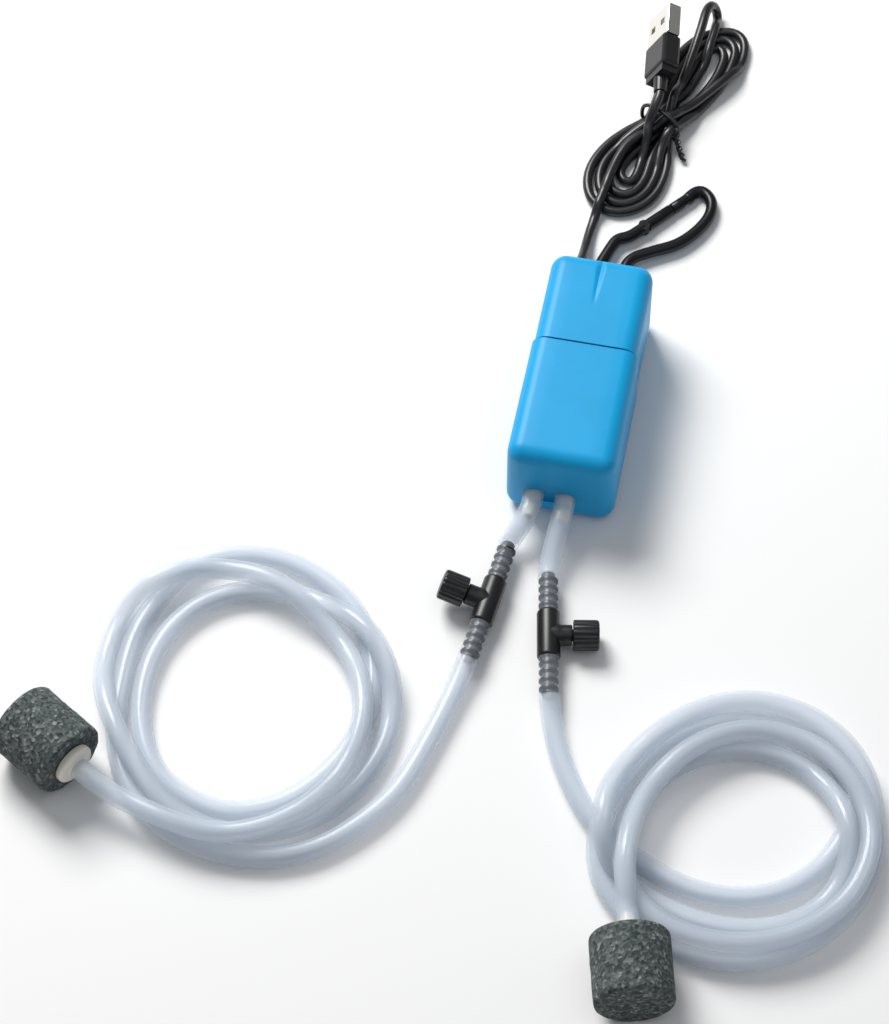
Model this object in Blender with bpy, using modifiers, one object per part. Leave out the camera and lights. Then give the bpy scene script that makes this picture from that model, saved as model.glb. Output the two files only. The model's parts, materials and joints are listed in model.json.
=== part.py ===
"""A small two-outlet USB air pump for aquariums: a plastic housing with a vibrating-armature pump inside, two
air hoses with needle valves and air stones, a USB cable tied in a hank, and a snap hook on its rear eyelet.

Frame: +Z up, the origin on the floor under the housing's centre,
+Y along the housing from the outlets to the cable end.
"""

import math

import bmesh
import bpy
from mathutils import Matrix, Vector

MM = 0.001
GAP = 0.3 * MM

HOUSING_WIDTH = 31.4 * MM
HOUSING_LENGTH = 72 * MM
HOUSING_HEIGHT = 29 * MM
HOUSING_EDGE = 4.5 * MM
WALL = 1.6 * MM
COVER_STEP = 0.4 * MM
SEAM_Y = 5 * MM
FRONT_Y = -HOUSING_LENGTH / 2
REAR_Y = HOUSING_LENGTH / 2

OUTLET_X = {"left": -7.2 * MM, "right": 2.0 * MM}
OUTLET_Z = 9.5 * MM
OUTLET_REACH = 8.4 * MM
RECESS_LOW = (-10.6 * MM, 6.1 * MM)
RECESS_HIGH = (5.4 * MM, 12.9 * MM)
RECESS_DEPTH = 0.8 * MM

FLOOR_TOP = 4.1 * MM
PUMP_Z = 12 * MM
DIAPHRAGM_Y = -16 * MM
PIVOT = (10.6 * MM, -24.6 * MM)
COIL_Y = 14 * MM
BLOCK_HALF = 4.6 * MM
BLOCK_FRONT = -26 * MM

HOSE = 6 * MM
VALVE_BARREL = 15 * MM
VALVE_BARB = 12.5 * MM
VALVE_RADIUS = 3.3 * MM
BRANCH_END = 6.6 * MM
KNOB_START = 6.9 * MM
KNOB_LENGTH = 7.3 * MM
KNOB_RADIUS = 4.35 * MM
VALVE_Z = 4.7 * MM
VALVES = {
    "left": {"place": (-13.6, -70.5), "turn": 174.0, "tilt": -14.0},
    "right": {"place": (5.0, -77.9), "turn": 10.7, "tilt": 0.0},
}

STONE_RADIUS = 11 * MM
STONE_LENGTH = 20 * MM
STONES = {
    "left": {"face": (-115.0, -145.9), "turn": 148.0},
    "right": {"face": (43.4, -168.6), "turn": 284.0},
}

COILS = {
    "left": {"centre": (-71.5, -114.2), "radius": (32.6, 39.3), "half_width": 8.9, "height": 13.0},
    "right": {"centre": (67.0, -126.5), "radius": (31.6, 32.0), "half_width": 9.5, "height": 17.0},
}

CABLE = 2.9 * MM
CABLE_EXIT = (-8.8 * MM, REAR_Y, 7 * MM)
RELIEF_END = 7.5 * MM
HANK_LOW = (-3.6, 84.0)
HANK_HIGH = (18.5, 142.0)
HANK_LOW_RADIUS = 10.5 * MM
HANK_HIGH_RADIUS = 7.6 * MM
HANK_WAIST = 4.6 * MM
HANK_WAIST_AT = 0.44
HANK_BASE = 1.3 * MM
HANK_THICKNESS = 5 * MM
PLUG_PLACE = (3.6, 115.9, 11.8)
PLUG_TURN = 6.5
PLUG_ROLL = -62.0

EYELET_X = -0.5 * MM
EYELET_Y = 39.2 * MM
EYELET_Z = 3.3 * MM
HOOK_BAR = 3.5 * MM
HOOK_PITCH = -1.9

# Routes, in millimetres: hand-placed points that a smooth curve runs through.
SHORT_HOSES = {
    "left": [(-7.2, -44.8, 9.3), (-8.0, -47.0, 8.6), (-9.2, -48.8, 7.2)],
    "right": [(2.0, -44.8, 9.3), (1.8, -49.5, 8.0), (1.6, -54.0, 6.0), (1.3, -57.2, 4.9)],
}
LEADS = {
    "left": [
        (-15.8, -90.6, 4.4), (-16.9, -96.6, 3.5), (-18.4, -104.0, 3.1), (-20.4, -112.5, 3.0),
        (-22.6, -121.0, 3.0), (-24.6, -128.4, 3.0), (-28.0, -137.0, 3.0), (-32.6, -144.8, 3.0),
        (-37.2, -150.2, 3.0),
        (-40.8, -153.3, 3.0),
    ],
    "right": [
        (8.8, -98.0, 4.6), (9.9, -103.0, 3.7), (12.1, -109.5, 3.1), (15.2, -116.0, 3.0),
        (18.8, -121.8, 3.0),
        (21.4, -125.2, 3.0),
    ],
}
TAILS = {
    "left": [(-96.4, -159.0, 9.0), (-99.6, -156.6, 10.0), (-103.2, -153.9, 10.8), (-105.9, -151.9, 11.0)]
}
CABLE_LEAD = [
    (-8.8, 44.2, 7.0), (-8.7, 47.5, 6.2), (-8.5, 51.5, 3.9), (-8.3, 56.0, 2.0), (-8.4, 61.6, 1.5),
    (-8.9, 68.5, 1.5), (-8.8, 73.6, 1.5),
]
CABLE_TAIL = [
    (4.22, 110.4, 11.8),
    (4.4, 108.2, 11.6),
    (4.1, 105.0, 11.0),
    (3.2, 101.8, 10.0),
    (2.0, 99.0, 8.8),
]
HOOK_LOOP = [
    (7.2, 67.2), (3.4, 62.9), (0.2, 61.2), (-1.4, 57.0), (-3.0, 51.5), (-4.3, 46.0), (-4.3, 41.7),
    (-2.2, 39.4),
    (0.8, 39.2), (3.6, 40.6), (4.9, 44.6), (4.1, 50.0), (5.6, 54.8), (11.0, 58.7), (17.8, 62.9),
    (22.7, 68.8),
    (25.6, 75.4), (25.2, 81.0), (21.8, 84.2), (18.6, 81.2), (16.9, 79.2),
]
GATE_LENGTH = 14.6 * MM
GATE_GAP = 0.5 * MM


def clear_scene():
    for item in list(bpy.data.objects):
        bpy.data.objects.remove(item, do_unlink=True)


def new_collection(name):
    made = bpy.data.collections.new(name)
    bpy.context.scene.collection.children.link(made)
    return made


clear_scene()
PARTS = new_collection("usb_air_pump")
CUTTERS = new_collection("cutters")


def paint(name, colour, roughness, metallic=0.0):
    made = bpy.data.materials.new(name)
    made.use_nodes = True
    shader = made.node_tree.nodes["Principled BSDF"]
    shader.inputs["Base Color"].default_value = (*colour, 1.0)
    shader.inputs["Roughness"].default_value = roughness
    shader.inputs["Metallic"].default_value = metallic
    return made


FINISHES = {
    "blue": ((0.02, 0.45, 0.85), 0.4, 0.0),
    "white": ((0.85, 0.85, 0.82), 0.45, 0.0),
    "black": ((0.02, 0.02, 0.022), 0.45, 0.0),
    "hose": ((0.80, 0.86, 0.92), 0.3, 0.0),
    "rubber": ((0.04, 0.04, 0.04), 0.7, 0.0),
    "stone": ((0.13, 0.15, 0.15), 0.95, 0.0),
    "cable": ((0.015, 0.015, 0.017), 0.5, 0.0),
    "steel": ((0.62, 0.62, 0.64), 0.3, 1.0),
    "iron": ((0.35, 0.35, 0.37), 0.5, 1.0),
    "magnet": ((0.16, 0.16, 0.17), 0.45, 1.0),
    "copper": ((0.72, 0.38, 0.20), 0.35, 1.0),
    "board": ((0.03, 0.25, 0.10), 0.5, 0.0),
    "chip": ((0.03, 0.03, 0.03), 0.55, 0.0),
    "anodised": ((0.02, 0.02, 0.022), 0.35, 0.6),
}


def add_part(name, mesh, finish, smooth_angle=35):
    """A mesh as a named piece with its own material, linked to the collection of parts."""
    made = bpy.data.objects.new(name, mesh)
    mesh.materials.append(paint(name, *FINISHES[finish]))
    mesh.shade_smooth()
    mesh.set_sharp_from_angle(angle=math.radians(smooth_angle))
    PARTS.objects.link(made)
    return made


def hide_cutter(made):
    made.hide_render = True
    made.display_type = "WIRE"
    return made


def box_mesh(name, low, high):
    """A box between two corners."""
    low, high = Vector(low), Vector(high)
    shape = bmesh.new()
    bmesh.ops.create_cube(shape, size=1.0)
    bmesh.ops.scale(shape, vec=high - low, verts=shape.verts)
    bmesh.ops.translate(shape, vec=(low + high) / 2, verts=shape.verts)
    mesh = bpy.data.meshes.new(name)
    shape.to_mesh(mesh)
    shape.free()
    return mesh


AXIS_TURNS = {
    "x": Matrix.Rotation(math.radians(90), 4, "Y"),
    "y": Matrix.Rotation(math.radians(-90), 4, "X"),
    "z": Matrix.Identity(4),
}


def rod_mesh(name, axis, start, end, radius, end_radius=None, sides=20):
    """A cylinder or cone along an axis, centred on the line from start to end."""
    start, end = Vector(start), Vector(end)
    shape = bmesh.new()
    bmesh.ops.create_cone(
        shape,
        cap_ends=True,
        segments=sides,
        radius1=radius,
        radius2=radius if end_radius is None else end_radius,
        depth=(end - start).length,
    )
    shape.transform(Matrix.Translation((start + end) / 2) @ AXIS_TURNS[axis])
    mesh = bpy.data.meshes.new(name)
    shape.to_mesh(mesh)
    shape.free()
    return mesh


def turned_mesh(name, profile, axis="z", centre=(0, 0, 0), steps=20):
    """A closed profile of (radius, height) points turned about an axis."""
    points = [Vector((r, 0, h)) for r, h in profile]
    shape = bmesh.new()
    ring = [shape.verts.new(p) for p in points]
    on_axis = points[0].x == 0 and points[-1].x == 0
    edges = [shape.edges.new((a, b)) for a, b in zip(ring, ring[1:])]
    if not on_axis:
        edges.append(shape.edges.new((ring[-1], ring[0])))
    bmesh.ops.spin(
        shape,
        geom=ring + edges,
        axis=(0, 0, 1),
        cent=(0, 0, 0),
        angle=math.tau,
        steps=steps,
        use_merge=True
    )
    bmesh.ops.remove_doubles(shape, verts=shape.verts, dist=1e-6)
    bmesh.ops.recalc_face_normals(shape, faces=shape.faces)
    shape.transform(Matrix.Translation(centre) @ AXIS_TURNS[axis])
    mesh = bpy.data.meshes.new(name)
    shape.to_mesh(mesh)
    shape.free()
    return mesh


def join(target, operation, mesh, matrix=None):
    """Unites a mesh with a piece, or cuts it away, by a Boolean modifier with a hidden cutter."""
    cutter = bpy.data.objects.new(f"{target.name}_{operation.lower()}_{len(target.modifiers)}", mesh)
    CUTTERS.objects.link(hide_cutter(cutter))
    cutter.matrix_world = matrix or Matrix.Identity(4)
    modifier = target.modifiers.new(operation.title(), "BOOLEAN")
    modifier.operation = operation
    modifier.object = cutter
    modifier.solver = "EXACT"
    return modifier


def cut(target, mesh, matrix=None):
    return join(target, "DIFFERENCE", mesh, matrix)


def unite(target, mesh, matrix=None):
    return join(target, "UNION", mesh, matrix)


def in_metres(points):
    return [Vector(p) * MM for p in points]


def smooth_points(points, spacing, closed=False):
    """Points at an even spacing along a Catmull-Rom curve through the given ones."""
    points = [Vector(p) for p in points]
    if closed:
        padded = [points[-1], *points, points[0], points[1]]
    else:
        padded = [2 * points[0] - points[1], *points, 2 * points[-1] - points[-2]]
    fine = []
    for a, b, c, d in zip(padded, padded[1:], padded[2:], padded[3:]):
        for step in range(24):
            t = step / 24
            fine.append(
                0.5
                * (2 * b + (c - a) * t + (2 * a - 5 * b + 4 * c - d) * t**2 + (3 * b - a - 3 * c + d) * t**3)
            )
    fine.append(padded[1] if closed else points[-1])
    lengths = [0.0]
    for a, b in zip(fine, fine[1:]):
        lengths.append(lengths[-1] + (b - a).length)
    count = max(2, round(lengths[-1] / spacing))
    made, index = [], 0
    for step in range(count + (not closed)):
        want = lengths[-1] * step / count
        while index < len(fine) - 2 and lengths[index + 1] < want:
            index += 1
        share = (want - lengths[index]) / max(lengths[index + 1] - lengths[index], 1e-12)
        made.append(fine[index].lerp(fine[index + 1], min(max(share, 0.0), 1.0)))
    return made


def add_tube(name, points, diameter, finish, resolution, closed=False):
    """A round bar or hose: a POLY-spline curve with a bevel and filled caps."""
    data = bpy.data.curves.new(name, "CURVE")
    data.dimensions = "3D"
    data.bevel_depth = diameter / 2
    data.bevel_resolution = resolution
    data.use_fill_caps = not closed
    spline = data.splines.new("POLY")
    spline.points.add(len(points) - 1)
    for place, point in zip(spline.points, points):
        place.co = (*point, 1.0)
    spline.use_cyclic_u = closed
    spline.use_smooth = True
    data.materials.append(paint(name, *FINISHES[finish]))
    made = bpy.data.objects.new(name, data)
    PARTS.objects.link(made)
    return made


def as_mesh_piece(curve_object, finish):
    """The same piece as a closed mesh, so that it can be cut or joined."""
    bpy.context.view_layer.update()
    graph = bpy.context.evaluated_depsgraph_get()
    mesh = bpy.data.meshes.new_from_object(curve_object.evaluated_get(graph))
    shape = bmesh.new()
    shape.from_mesh(mesh)
    bmesh.ops.remove_doubles(shape, verts=shape.verts, dist=1e-6)
    shape.to_mesh(mesh)
    shape.free()
    name, place = curve_object.name, curve_object.matrix_world.copy()
    bpy.data.objects.remove(curve_object, do_unlink=True)
    mesh.materials.clear()
    made = add_part(name, mesh, finish)
    made.matrix_world = place
    return made


# --- housing --------------------------------------------------------------------------------------


def shell_mesh(name, y_from, y_to, half_from, half_to, top, inset, edge):
    """One half of the housing: a tapered block with rounded edges and closed end, its other end cut flat."""
    shape = bmesh.new()
    bmesh.ops.create_cube(shape, size=1.0)
    for vert in shape.verts:
        at_end = vert.co.y > 0
        half = (half_to if at_end else half_from) - inset
        vert.co.x = math.copysign(half, vert.co.x)
        vert.co.y = y_to if at_end else y_from
        vert.co.z = top - inset if vert.co.z > 0 else inset
    bmesh.ops.bevel(
        shape,
        geom=list(shape.edges),
        offset=edge,
        segments=4,
        profile=0.5,
        affect="EDGES",
        clamp_overlap=True
    )
    mesh = bpy.data.meshes.new(name)
    shape.to_mesh(mesh)
    shape.free()
    return mesh


FRONT_HALF = HOUSING_WIDTH / 2
REAR_HALF = HOUSING_WIDTH / 2 - 0.8 * MM
BEYOND = 20 * MM


def make_front_shell():
    top = HOUSING_HEIGHT - COVER_STEP
    shell = add_part(
        "front_shell",
        shell_mesh(
            "front_shell", FRONT_Y, SEAM_Y + BEYOND, FRONT_HALF, FRONT_HALF - 0.2 * MM, top, 0, HOUSING_EDGE
        ),
        "blue",
    )
    cut(
        shell,
        shell_mesh(
            "front_hollow", FRONT_Y + WALL, SEAM_Y + BEYOND, FRONT_HALF, FRONT_HALF, top, WALL, 3 * MM
        ),
    )
    cut(shell, box_mesh("front_end", (-BEYOND, SEAM_Y, -BEYOND), (BEYOND, SEAM_Y + 2 * BEYOND, 2 * BEYOND)))
    low = (RECESS_LOW[0], FRONT_Y - 1 * MM, RECESS_LOW[1])
    high = (RECESS_HIGH[0], FRONT_Y + RECESS_DEPTH, RECESS_HIGH[1])
    cut(shell, box_mesh("outlet_recess", low, high))
    for x in OUTLET_X.values():
        hole = rod_mesh(
            "outlet_hole",
            "y",
            (x, FRONT_Y - 1 * MM, OUTLET_Z),
            (x, FRONT_Y + 4 * MM, OUTLET_Z),
            2.0 * MM + GAP,
        )
        cut(shell, hole)
    return shell


def make_rear_cover():
    start = SEAM_Y + GAP
    cover = add_part(
        "rear_cover",
        shell_mesh(
            "rear_cover", start - BEYOND, REAR_Y, REAR_HALF, REAR_HALF, HOUSING_HEIGHT, 0, HOUSING_EDGE
        ),
        "blue",
    )
    cut(
        cover,
        shell_mesh(
            "rear_hollow", start - BEYOND, REAR_Y - WALL, REAR_HALF, REAR_HALF, HOUSING_HEIGHT, WALL, 2 * MM
        ),
    )
    cut(cover, box_mesh("rear_end", (-BEYOND, start - 2 * BEYOND, -BEYOND), (BEYOND, start, 2 * BEYOND)))
    for z_low, z_high in (
        (WALL + GAP, WALL + 1.2 * MM), (HOUSING_HEIGHT - WALL - 2.2 * MM, HOUSING_HEIGHT - WALL - 1.1 * MM)
    ):
        unite(
            cover,
            box_mesh("snap_tab", (-7 * MM, SEAM_Y - 4 * MM, z_low), (7 * MM, SEAM_Y + 3 * MM, z_high)),
        )
    for z_low, z_high in (
        (WALL - 0.4 * MM, WALL + 1.2 * MM),
        (HOUSING_HEIGHT - WALL - 2.2 * MM, HOUSING_HEIGHT - WALL + 0.4 * MM),
    ):
        unite(
            cover,
            box_mesh("tab_root", (-7 * MM, start + 0.2 * MM, z_low), (7 * MM, start + 2.5 * MM, z_high)),
        )
    unite(
        cover,
        box_mesh(
            "eyelet",
            (EYELET_X - 1.5 * MM, REAR_Y - 3 * MM, 0.4 * MM),
            (EYELET_X + 1.5 * MM, 42 * MM, 6.3 * MM),
        ),
    )
    cut(
        cover,
        rod_mesh(
            "eyelet_hole",
            "x",
            (EYELET_X - 3 * MM, EYELET_Y, EYELET_Z),
            (EYELET_X + 3 * MM, EYELET_Y, EYELET_Z),
            2.1 * MM,
        ),
    )
    x, _, z = CABLE_EXIT
    cut(
        cover, rod_mesh("cable_hole", "y", (x, REAR_Y - 4 * MM, z), (x, REAR_Y + 2 * MM, z), 2.2 * MM + GAP)
    )
    groove = rod_mesh(
        "top_groove", "y", (0, REAR_Y - 16 * MM, 0), (0, REAR_Y + 1 * MM, 0), 0.1 * MM, 1.3 * MM, sides=12
    )
    cut(cover, groove, Matrix.Translation((0, 0, HOUSING_HEIGHT + 0.1 * MM)))
    return cover


# --- pump inside ----------------------------------------------------------------------------------


def make_chassis():
    plate = add_part(
        "chassis",
        box_mesh("chassis", (-11.8 * MM, -30 * MM, 3.1 * MM), (11.8 * MM, 31 * MM, FLOOR_TOP)),
        "white",
    )
    unite(
        plate,
        box_mesh(
            "coil_cradle", (-5.5 * MM, COIL_Y - 2 * MM, 3.6 * MM), (5.5 * MM, COIL_Y + 2 * MM, 5.2 * MM)
        ),
    )
    for side in (-1, 1):
        x = side * PIVOT[0]
        unite(
            plate,
            rod_mesh(
                "pivot_post", "z", (x, PIVOT[1], 3.6 * MM), (x, PIVOT[1], 17 * MM), 1.1 * MM, sides=16
            ),
        )
        unite(
            plate, box_mesh("board_rest", (x - 1 * MM, 24 * MM, 3.6 * MM), (x + 1 * MM, 30 * MM, 4.9 * MM))
        )
        for y in (-27 * MM, 26 * MM):
            foot = side * 8.6 * MM
            unite(
                plate,
                box_mesh(
                    "foot", (foot - 1 * MM, y - 1.5 * MM, 1.9 * MM), (foot + 1 * MM, y + 1.5 * MM, 3.6 * MM)
                ),
            )
    return plate


def make_valve_block():
    low = (-BLOCK_HALF, BLOCK_FRONT, FLOOR_TOP + GAP)
    block = add_part("valve_block", box_mesh("valve_block", low, (BLOCK_HALF, -9 * MM, 20.5 * MM)), "white")
    for side in (-1, 1):
        x = side * 2.4 * MM
        cut(
            block,
            rod_mesh(
                "outlet_bore",
                "y",
                (x, BLOCK_FRONT - 1 * MM, PUMP_Z),
                (x, DIAPHRAGM_Y, PUMP_Z),
                1 * MM,
                sides=12,
            ),
        )
        cut(
            block,
            rod_mesh(
                "flap_pocket",
                "y",
                (x, BLOCK_FRONT - 1 * MM, PUMP_Z),
                (x, BLOCK_FRONT + 1.2 * MM, PUMP_Z),
                2.0 * MM,
                sides=16,
            ),
        )
        face = side * (BLOCK_HALF + 1 * MM)
        cut(
            block,
            rod_mesh(
                "chamber",
                "x",
                (side * 3.9 * MM, DIAPHRAGM_Y, PUMP_Z),
                (face, DIAPHRAGM_Y, PUMP_Z),
                3.8 * MM,
            ),
        )
        cut(
            block,
            rod_mesh(
                "port",
                "x",
                (x, DIAPHRAGM_Y - 1 * MM, PUMP_Z),
                (face, DIAPHRAGM_Y - 1 * MM, PUMP_Z),
                0.8 * MM,
                sides=12,
            ),
        )
        x = side * 3.2 * MM
        cut(
            block,
            rod_mesh(
                "screw_pilot",
                "y",
                (x, BLOCK_FRONT - 1 * MM, 17.6 * MM),
                (x, -17.5 * MM, 17.6 * MM),
                1.1 * MM,
                sides=12,
            ),
        )
    return block


def make_gasket():
    gasket = add_part(
        "manifold_gasket",
        box_mesh("gasket", (-5.6 * MM, -26.9 * MM, 7 * MM), (5.6 * MM, BLOCK_FRONT - GAP, 19.6 * MM)),
        "rubber"
    )
    for side in (-1, 1):
        for x, z, radius in ((2.4 * MM, PUMP_Z, 1.3 * MM), (3.2 * MM, 17.6 * MM, 1.2 * MM)):
            cut(
                gasket,
                rod_mesh(
                    "gasket_hole", "y", (side * x, -28 * MM, z), (side * x, -25 * MM, z), radius, sides=12
                ),
            )
    return gasket


def barb_profile(root, ridge, length, rings, tip):
    """The outline of a hose barb from its shoulder to its tip: ridges that are steep towards the shoulder."""
    pitch = (length - 1.5 * MM) / rings
    outline = []
    for step in range(rings):
        start = 1.0 * MM + step * pitch
        outline += [(root, start), (ridge, start + 0.15 * pitch), (root, start + 0.95 * pitch)]
    return [(root, 0.0), *outline, (tip, length)]


def make_manifold():
    body = add_part(
        "outlet_manifold",
        box_mesh("manifold", (-10.5 * MM, -29.4 * MM, 5 * MM), (7.5 * MM, -27.2 * MM, 19.6 * MM)),
        "white"
    )
    root = -8 * MM
    for x in OUTLET_X.values():
        outline = barb_profile(2.0 * MM, 2.3 * MM, OUTLET_REACH, 2, 1.9 * MM)
        profile = [(0, root), (2.0 * MM, root), *outline, (0, OUTLET_REACH)]
        spigot = turned_mesh("spigot", profile, steps=20)
        place = Matrix.Translation(
            (x, FRONT_Y + RECESS_DEPTH, OUTLET_Z)
        ) @ Matrix.Rotation(math.radians(90), 4, "X")
        unite(body, spigot, place)
    for x in OUTLET_X.values():
        cut(
            body,
            rod_mesh(
                "air_bore", "y", (x, -60 * MM, OUTLET_Z), (x, -28.2 * MM, OUTLET_Z), 1.2 * MM, sides=12
            ),
        )
    for x_low, x_high in ((-8.4 * MM, -1.4 * MM), (0.9 * MM, 3.6 * MM)):
        cut(body, box_mesh("air_channel", (x_low, -28.5 * MM, 8.4 * MM), (x_high, -26 * MM, 13.2 * MM)))
    for side in (-1, 1):
        x = side * 3.2 * MM
        cut(
            body,
            rod_mesh(
                "screw_hole", "y", (x, -31 * MM, 17.6 * MM), (x, -26 * MM, 17.6 * MM), 1.2 * MM, sides=12
            ),
        )
    return body


def make_block_screws():
    for side, name in ((-1, "left"), (1, "right")):
        profile = [
            (0, 0), (0.8 * MM, 0), (0.8 * MM, 10.5 * MM), (1.7 * MM, 10.5 * MM), (1.7 * MM, 11.6 * MM),
            (0, 11.6 * MM),
        ]
        screw = add_part(f"block_screw_{name}", turned_mesh("screw", profile, steps=16), "steel")
        screw.matrix_world = Matrix.Translation((side * 3.2 * MM, -19 * MM, 17.6 * MM)) @ Matrix.Rotation(
            math.radians(90), 4, "X"
        )
        cut(
            screw,
            box_mesh("slot", (-2 * MM, -0.25 * MM, 11.1 * MM), (2 * MM, 0.25 * MM, 12 * MM)),
            screw.matrix_world.copy(),
        )


def make_pumping_side(side, name):
    x_flap = side * 2.4 * MM
    flap = rod_mesh(
        "flap", "y", (x_flap, -25.7 * MM, PUMP_Z), (x_flap, -25.2 * MM, PUMP_Z), 1.7 * MM, sides=16
    )
    add_part(f"outlet_flap_{name}", flap, "rubber")

    turn = Matrix.Translation((0, DIAPHRAGM_Y, PUMP_Z)) @ Matrix.Rotation(side * math.radians(90), 4, "Y")
    bowl = [
        (5.4, 4.9), (5.4, 5.9), (4.4, 5.9), (3.2, 7.9), (1.3, 7.9), (1.3, 7.1), (2.8, 7.1), (4.0, 5.3),
        (4.0, 4.9),
    ]
    clamp = [(5.6, 6.2), (5.6, 6.9), (4.7, 6.9), (4.7, 6.2)]
    stud = [(0, 6.2), (2.2, 6.2), (2.2, 6.8), (1.0, 6.8), (1.0, 9.7), (0, 9.7)]
    for node, profile, finish in (
        ("diaphragm", bowl, "rubber"), ("diaphragm_clamp", clamp, "white"),
        ("diaphragm_stud", stud, "steel"),
    ):
        piece = add_part(
            f"{node}_{name}", turned_mesh(node, [(r * MM, h * MM) for r, h in profile]), finish
        )
        piece.matrix_world = turn

    x, y = side * PIVOT[0], PIVOT[1]
    hub = [(1.4 * MM, 9 * MM), (2.2 * MM, 9 * MM), (2.2 * MM, 15 * MM), (1.4 * MM, 15 * MM)]
    arm = add_part(f"swing_arm_{name}", turned_mesh("hub", [(r, h) for r, h in hub]), "white")
    arm.location = (x, y, 0)
    near, far = sorted((-side * 0.6 * MM, side * 0.6 * MM))
    lever = box_mesh("lever", (near, 1.7 * MM, 9.5 * MM), (far, 43.2 * MM, 14.5 * MM))
    unite(arm, lever, Matrix.Translation((x, y, 0)))
    low_x, high_x = sorted((side * 7.9 * MM, side * 9.7 * MM))
    magnet = add_part(
        f"arm_magnet_{name}",
        box_mesh("magnet", (low_x, 10 * MM, 8.4 * MM), (high_x, 18 * MM, 15.6 * MM)),
        "magnet",
    )
    bevel = magnet.modifiers.new("Bevel", "BEVEL")
    bevel.width = 0.3 * MM
    bevel.segments = 1


def make_electromagnet():
    half = 6.6 * MM
    core = box_mesh(
        "core", (-half, COIL_Y - 2.5 * MM, PUMP_Z - 3.5 * MM), (half, COIL_Y + 2.5 * MM, PUMP_Z + 3.5 * MM)
    )
    add_part("laminated_core", core, "iron")
    bobbin = add_part(
        "coil_bobbin",
        box_mesh(
            "bobbin", (-5.4 * MM, COIL_Y - 6.8 * MM, 5.5 * MM), (5.4 * MM, COIL_Y + 6.8 * MM, 18.5 * MM)
        ),
        "white"
    )
    window = box_mesh(
        "window",
        (-8 * MM, COIL_Y - 2.8 * MM, PUMP_Z - 3.8 * MM),
        (8 * MM, COIL_Y + 2.8 * MM, PUMP_Z + 3.8 * MM),
    )
    waist = box_mesh("waist", (-4.4 * MM, COIL_Y - 10 * MM, 2 * MM), (4.4 * MM, COIL_Y + 10 * MM, 22 * MM))
    waste = bpy.data.objects.new("bobbin_waist", waist)
    CUTTERS.objects.link(hide_cutter(waste))
    keep = waste.modifiers.new("Keep", "BOOLEAN")
    keep.object = bpy.data.objects.new(
        "bobbin_tube",
        box_mesh(
            "tube",
            (-9 * MM, COIL_Y - 3.6 * MM, PUMP_Z - 4.6 * MM),
            (9 * MM, COIL_Y + 3.6 * MM, PUMP_Z + 4.6 * MM),
        )
    )
    CUTTERS.objects.link(hide_cutter(keep.object))
    cut_waist = bobbin.modifiers.new("Waist", "BOOLEAN")
    cut_waist.object = waste
    cut(bobbin, window)
    winding = add_part(
        "coil_winding",
        box_mesh(
            "winding", (-4.1 * MM, COIL_Y - 6.2 * MM, 5.8 * MM), (4.1 * MM, COIL_Y + 6.2 * MM, 18.2 * MM)
        ),
        "copper"
    )
    bevel = winding.modifiers.new("Bevel", "BEVEL")
    bevel.width = 1.6 * MM
    bevel.segments = 2
    inner = box_mesh(
        "inner",
        (-8 * MM, COIL_Y - 3.9 * MM, PUMP_Z - 4.9 * MM),
        (8 * MM, COIL_Y + 3.9 * MM, PUMP_Z + 4.9 * MM),
    )
    cut(winding, inner)


def make_circuit():
    add_part(
        "circuit_board",
        box_mesh("board", (-11.4 * MM, 23 * MM, 5.2 * MM), (11.4 * MM, 31.2 * MM, 6.4 * MM)),
        "board",
    )
    add_part(
        "driver_chip", box_mesh("chip", (1 * MM, 25 * MM, 6.7 * MM), (6 * MM, 29 * MM, 8.3 * MM)), "chip"
    )
    profile = [
        (0, 6.7 * MM), (2.4 * MM, 6.7 * MM), (2.5 * MM, 7.2 * MM), (2.5 * MM, 13.5 * MM),
        (2.1 * MM, 13.9 * MM), (0, 13.9 * MM),
    ]
    capacitor = add_part("capacitor", turned_mesh("capacitor", profile, steps=16), "chip")
    capacitor.location = (-3 * MM, 27.2 * MM, 0)


# --- hoses, valves and stones ---------------------------------------------------------------------


def valve_matrix(side):
    """The valve's own frame: X along the knob's axis, Y along the hose."""
    spec = VALVES[side]
    place = Vector((*spec["place"], 0)) * MM + Vector((0, 0, VALVE_Z))
    turn = Matrix.Rotation(math.radians(spec["turn"]), 4, "Z")
    return Matrix.Translation(place) @ turn @ Matrix.Rotation(math.radians(spec["tilt"]), 4, "Y")


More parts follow.
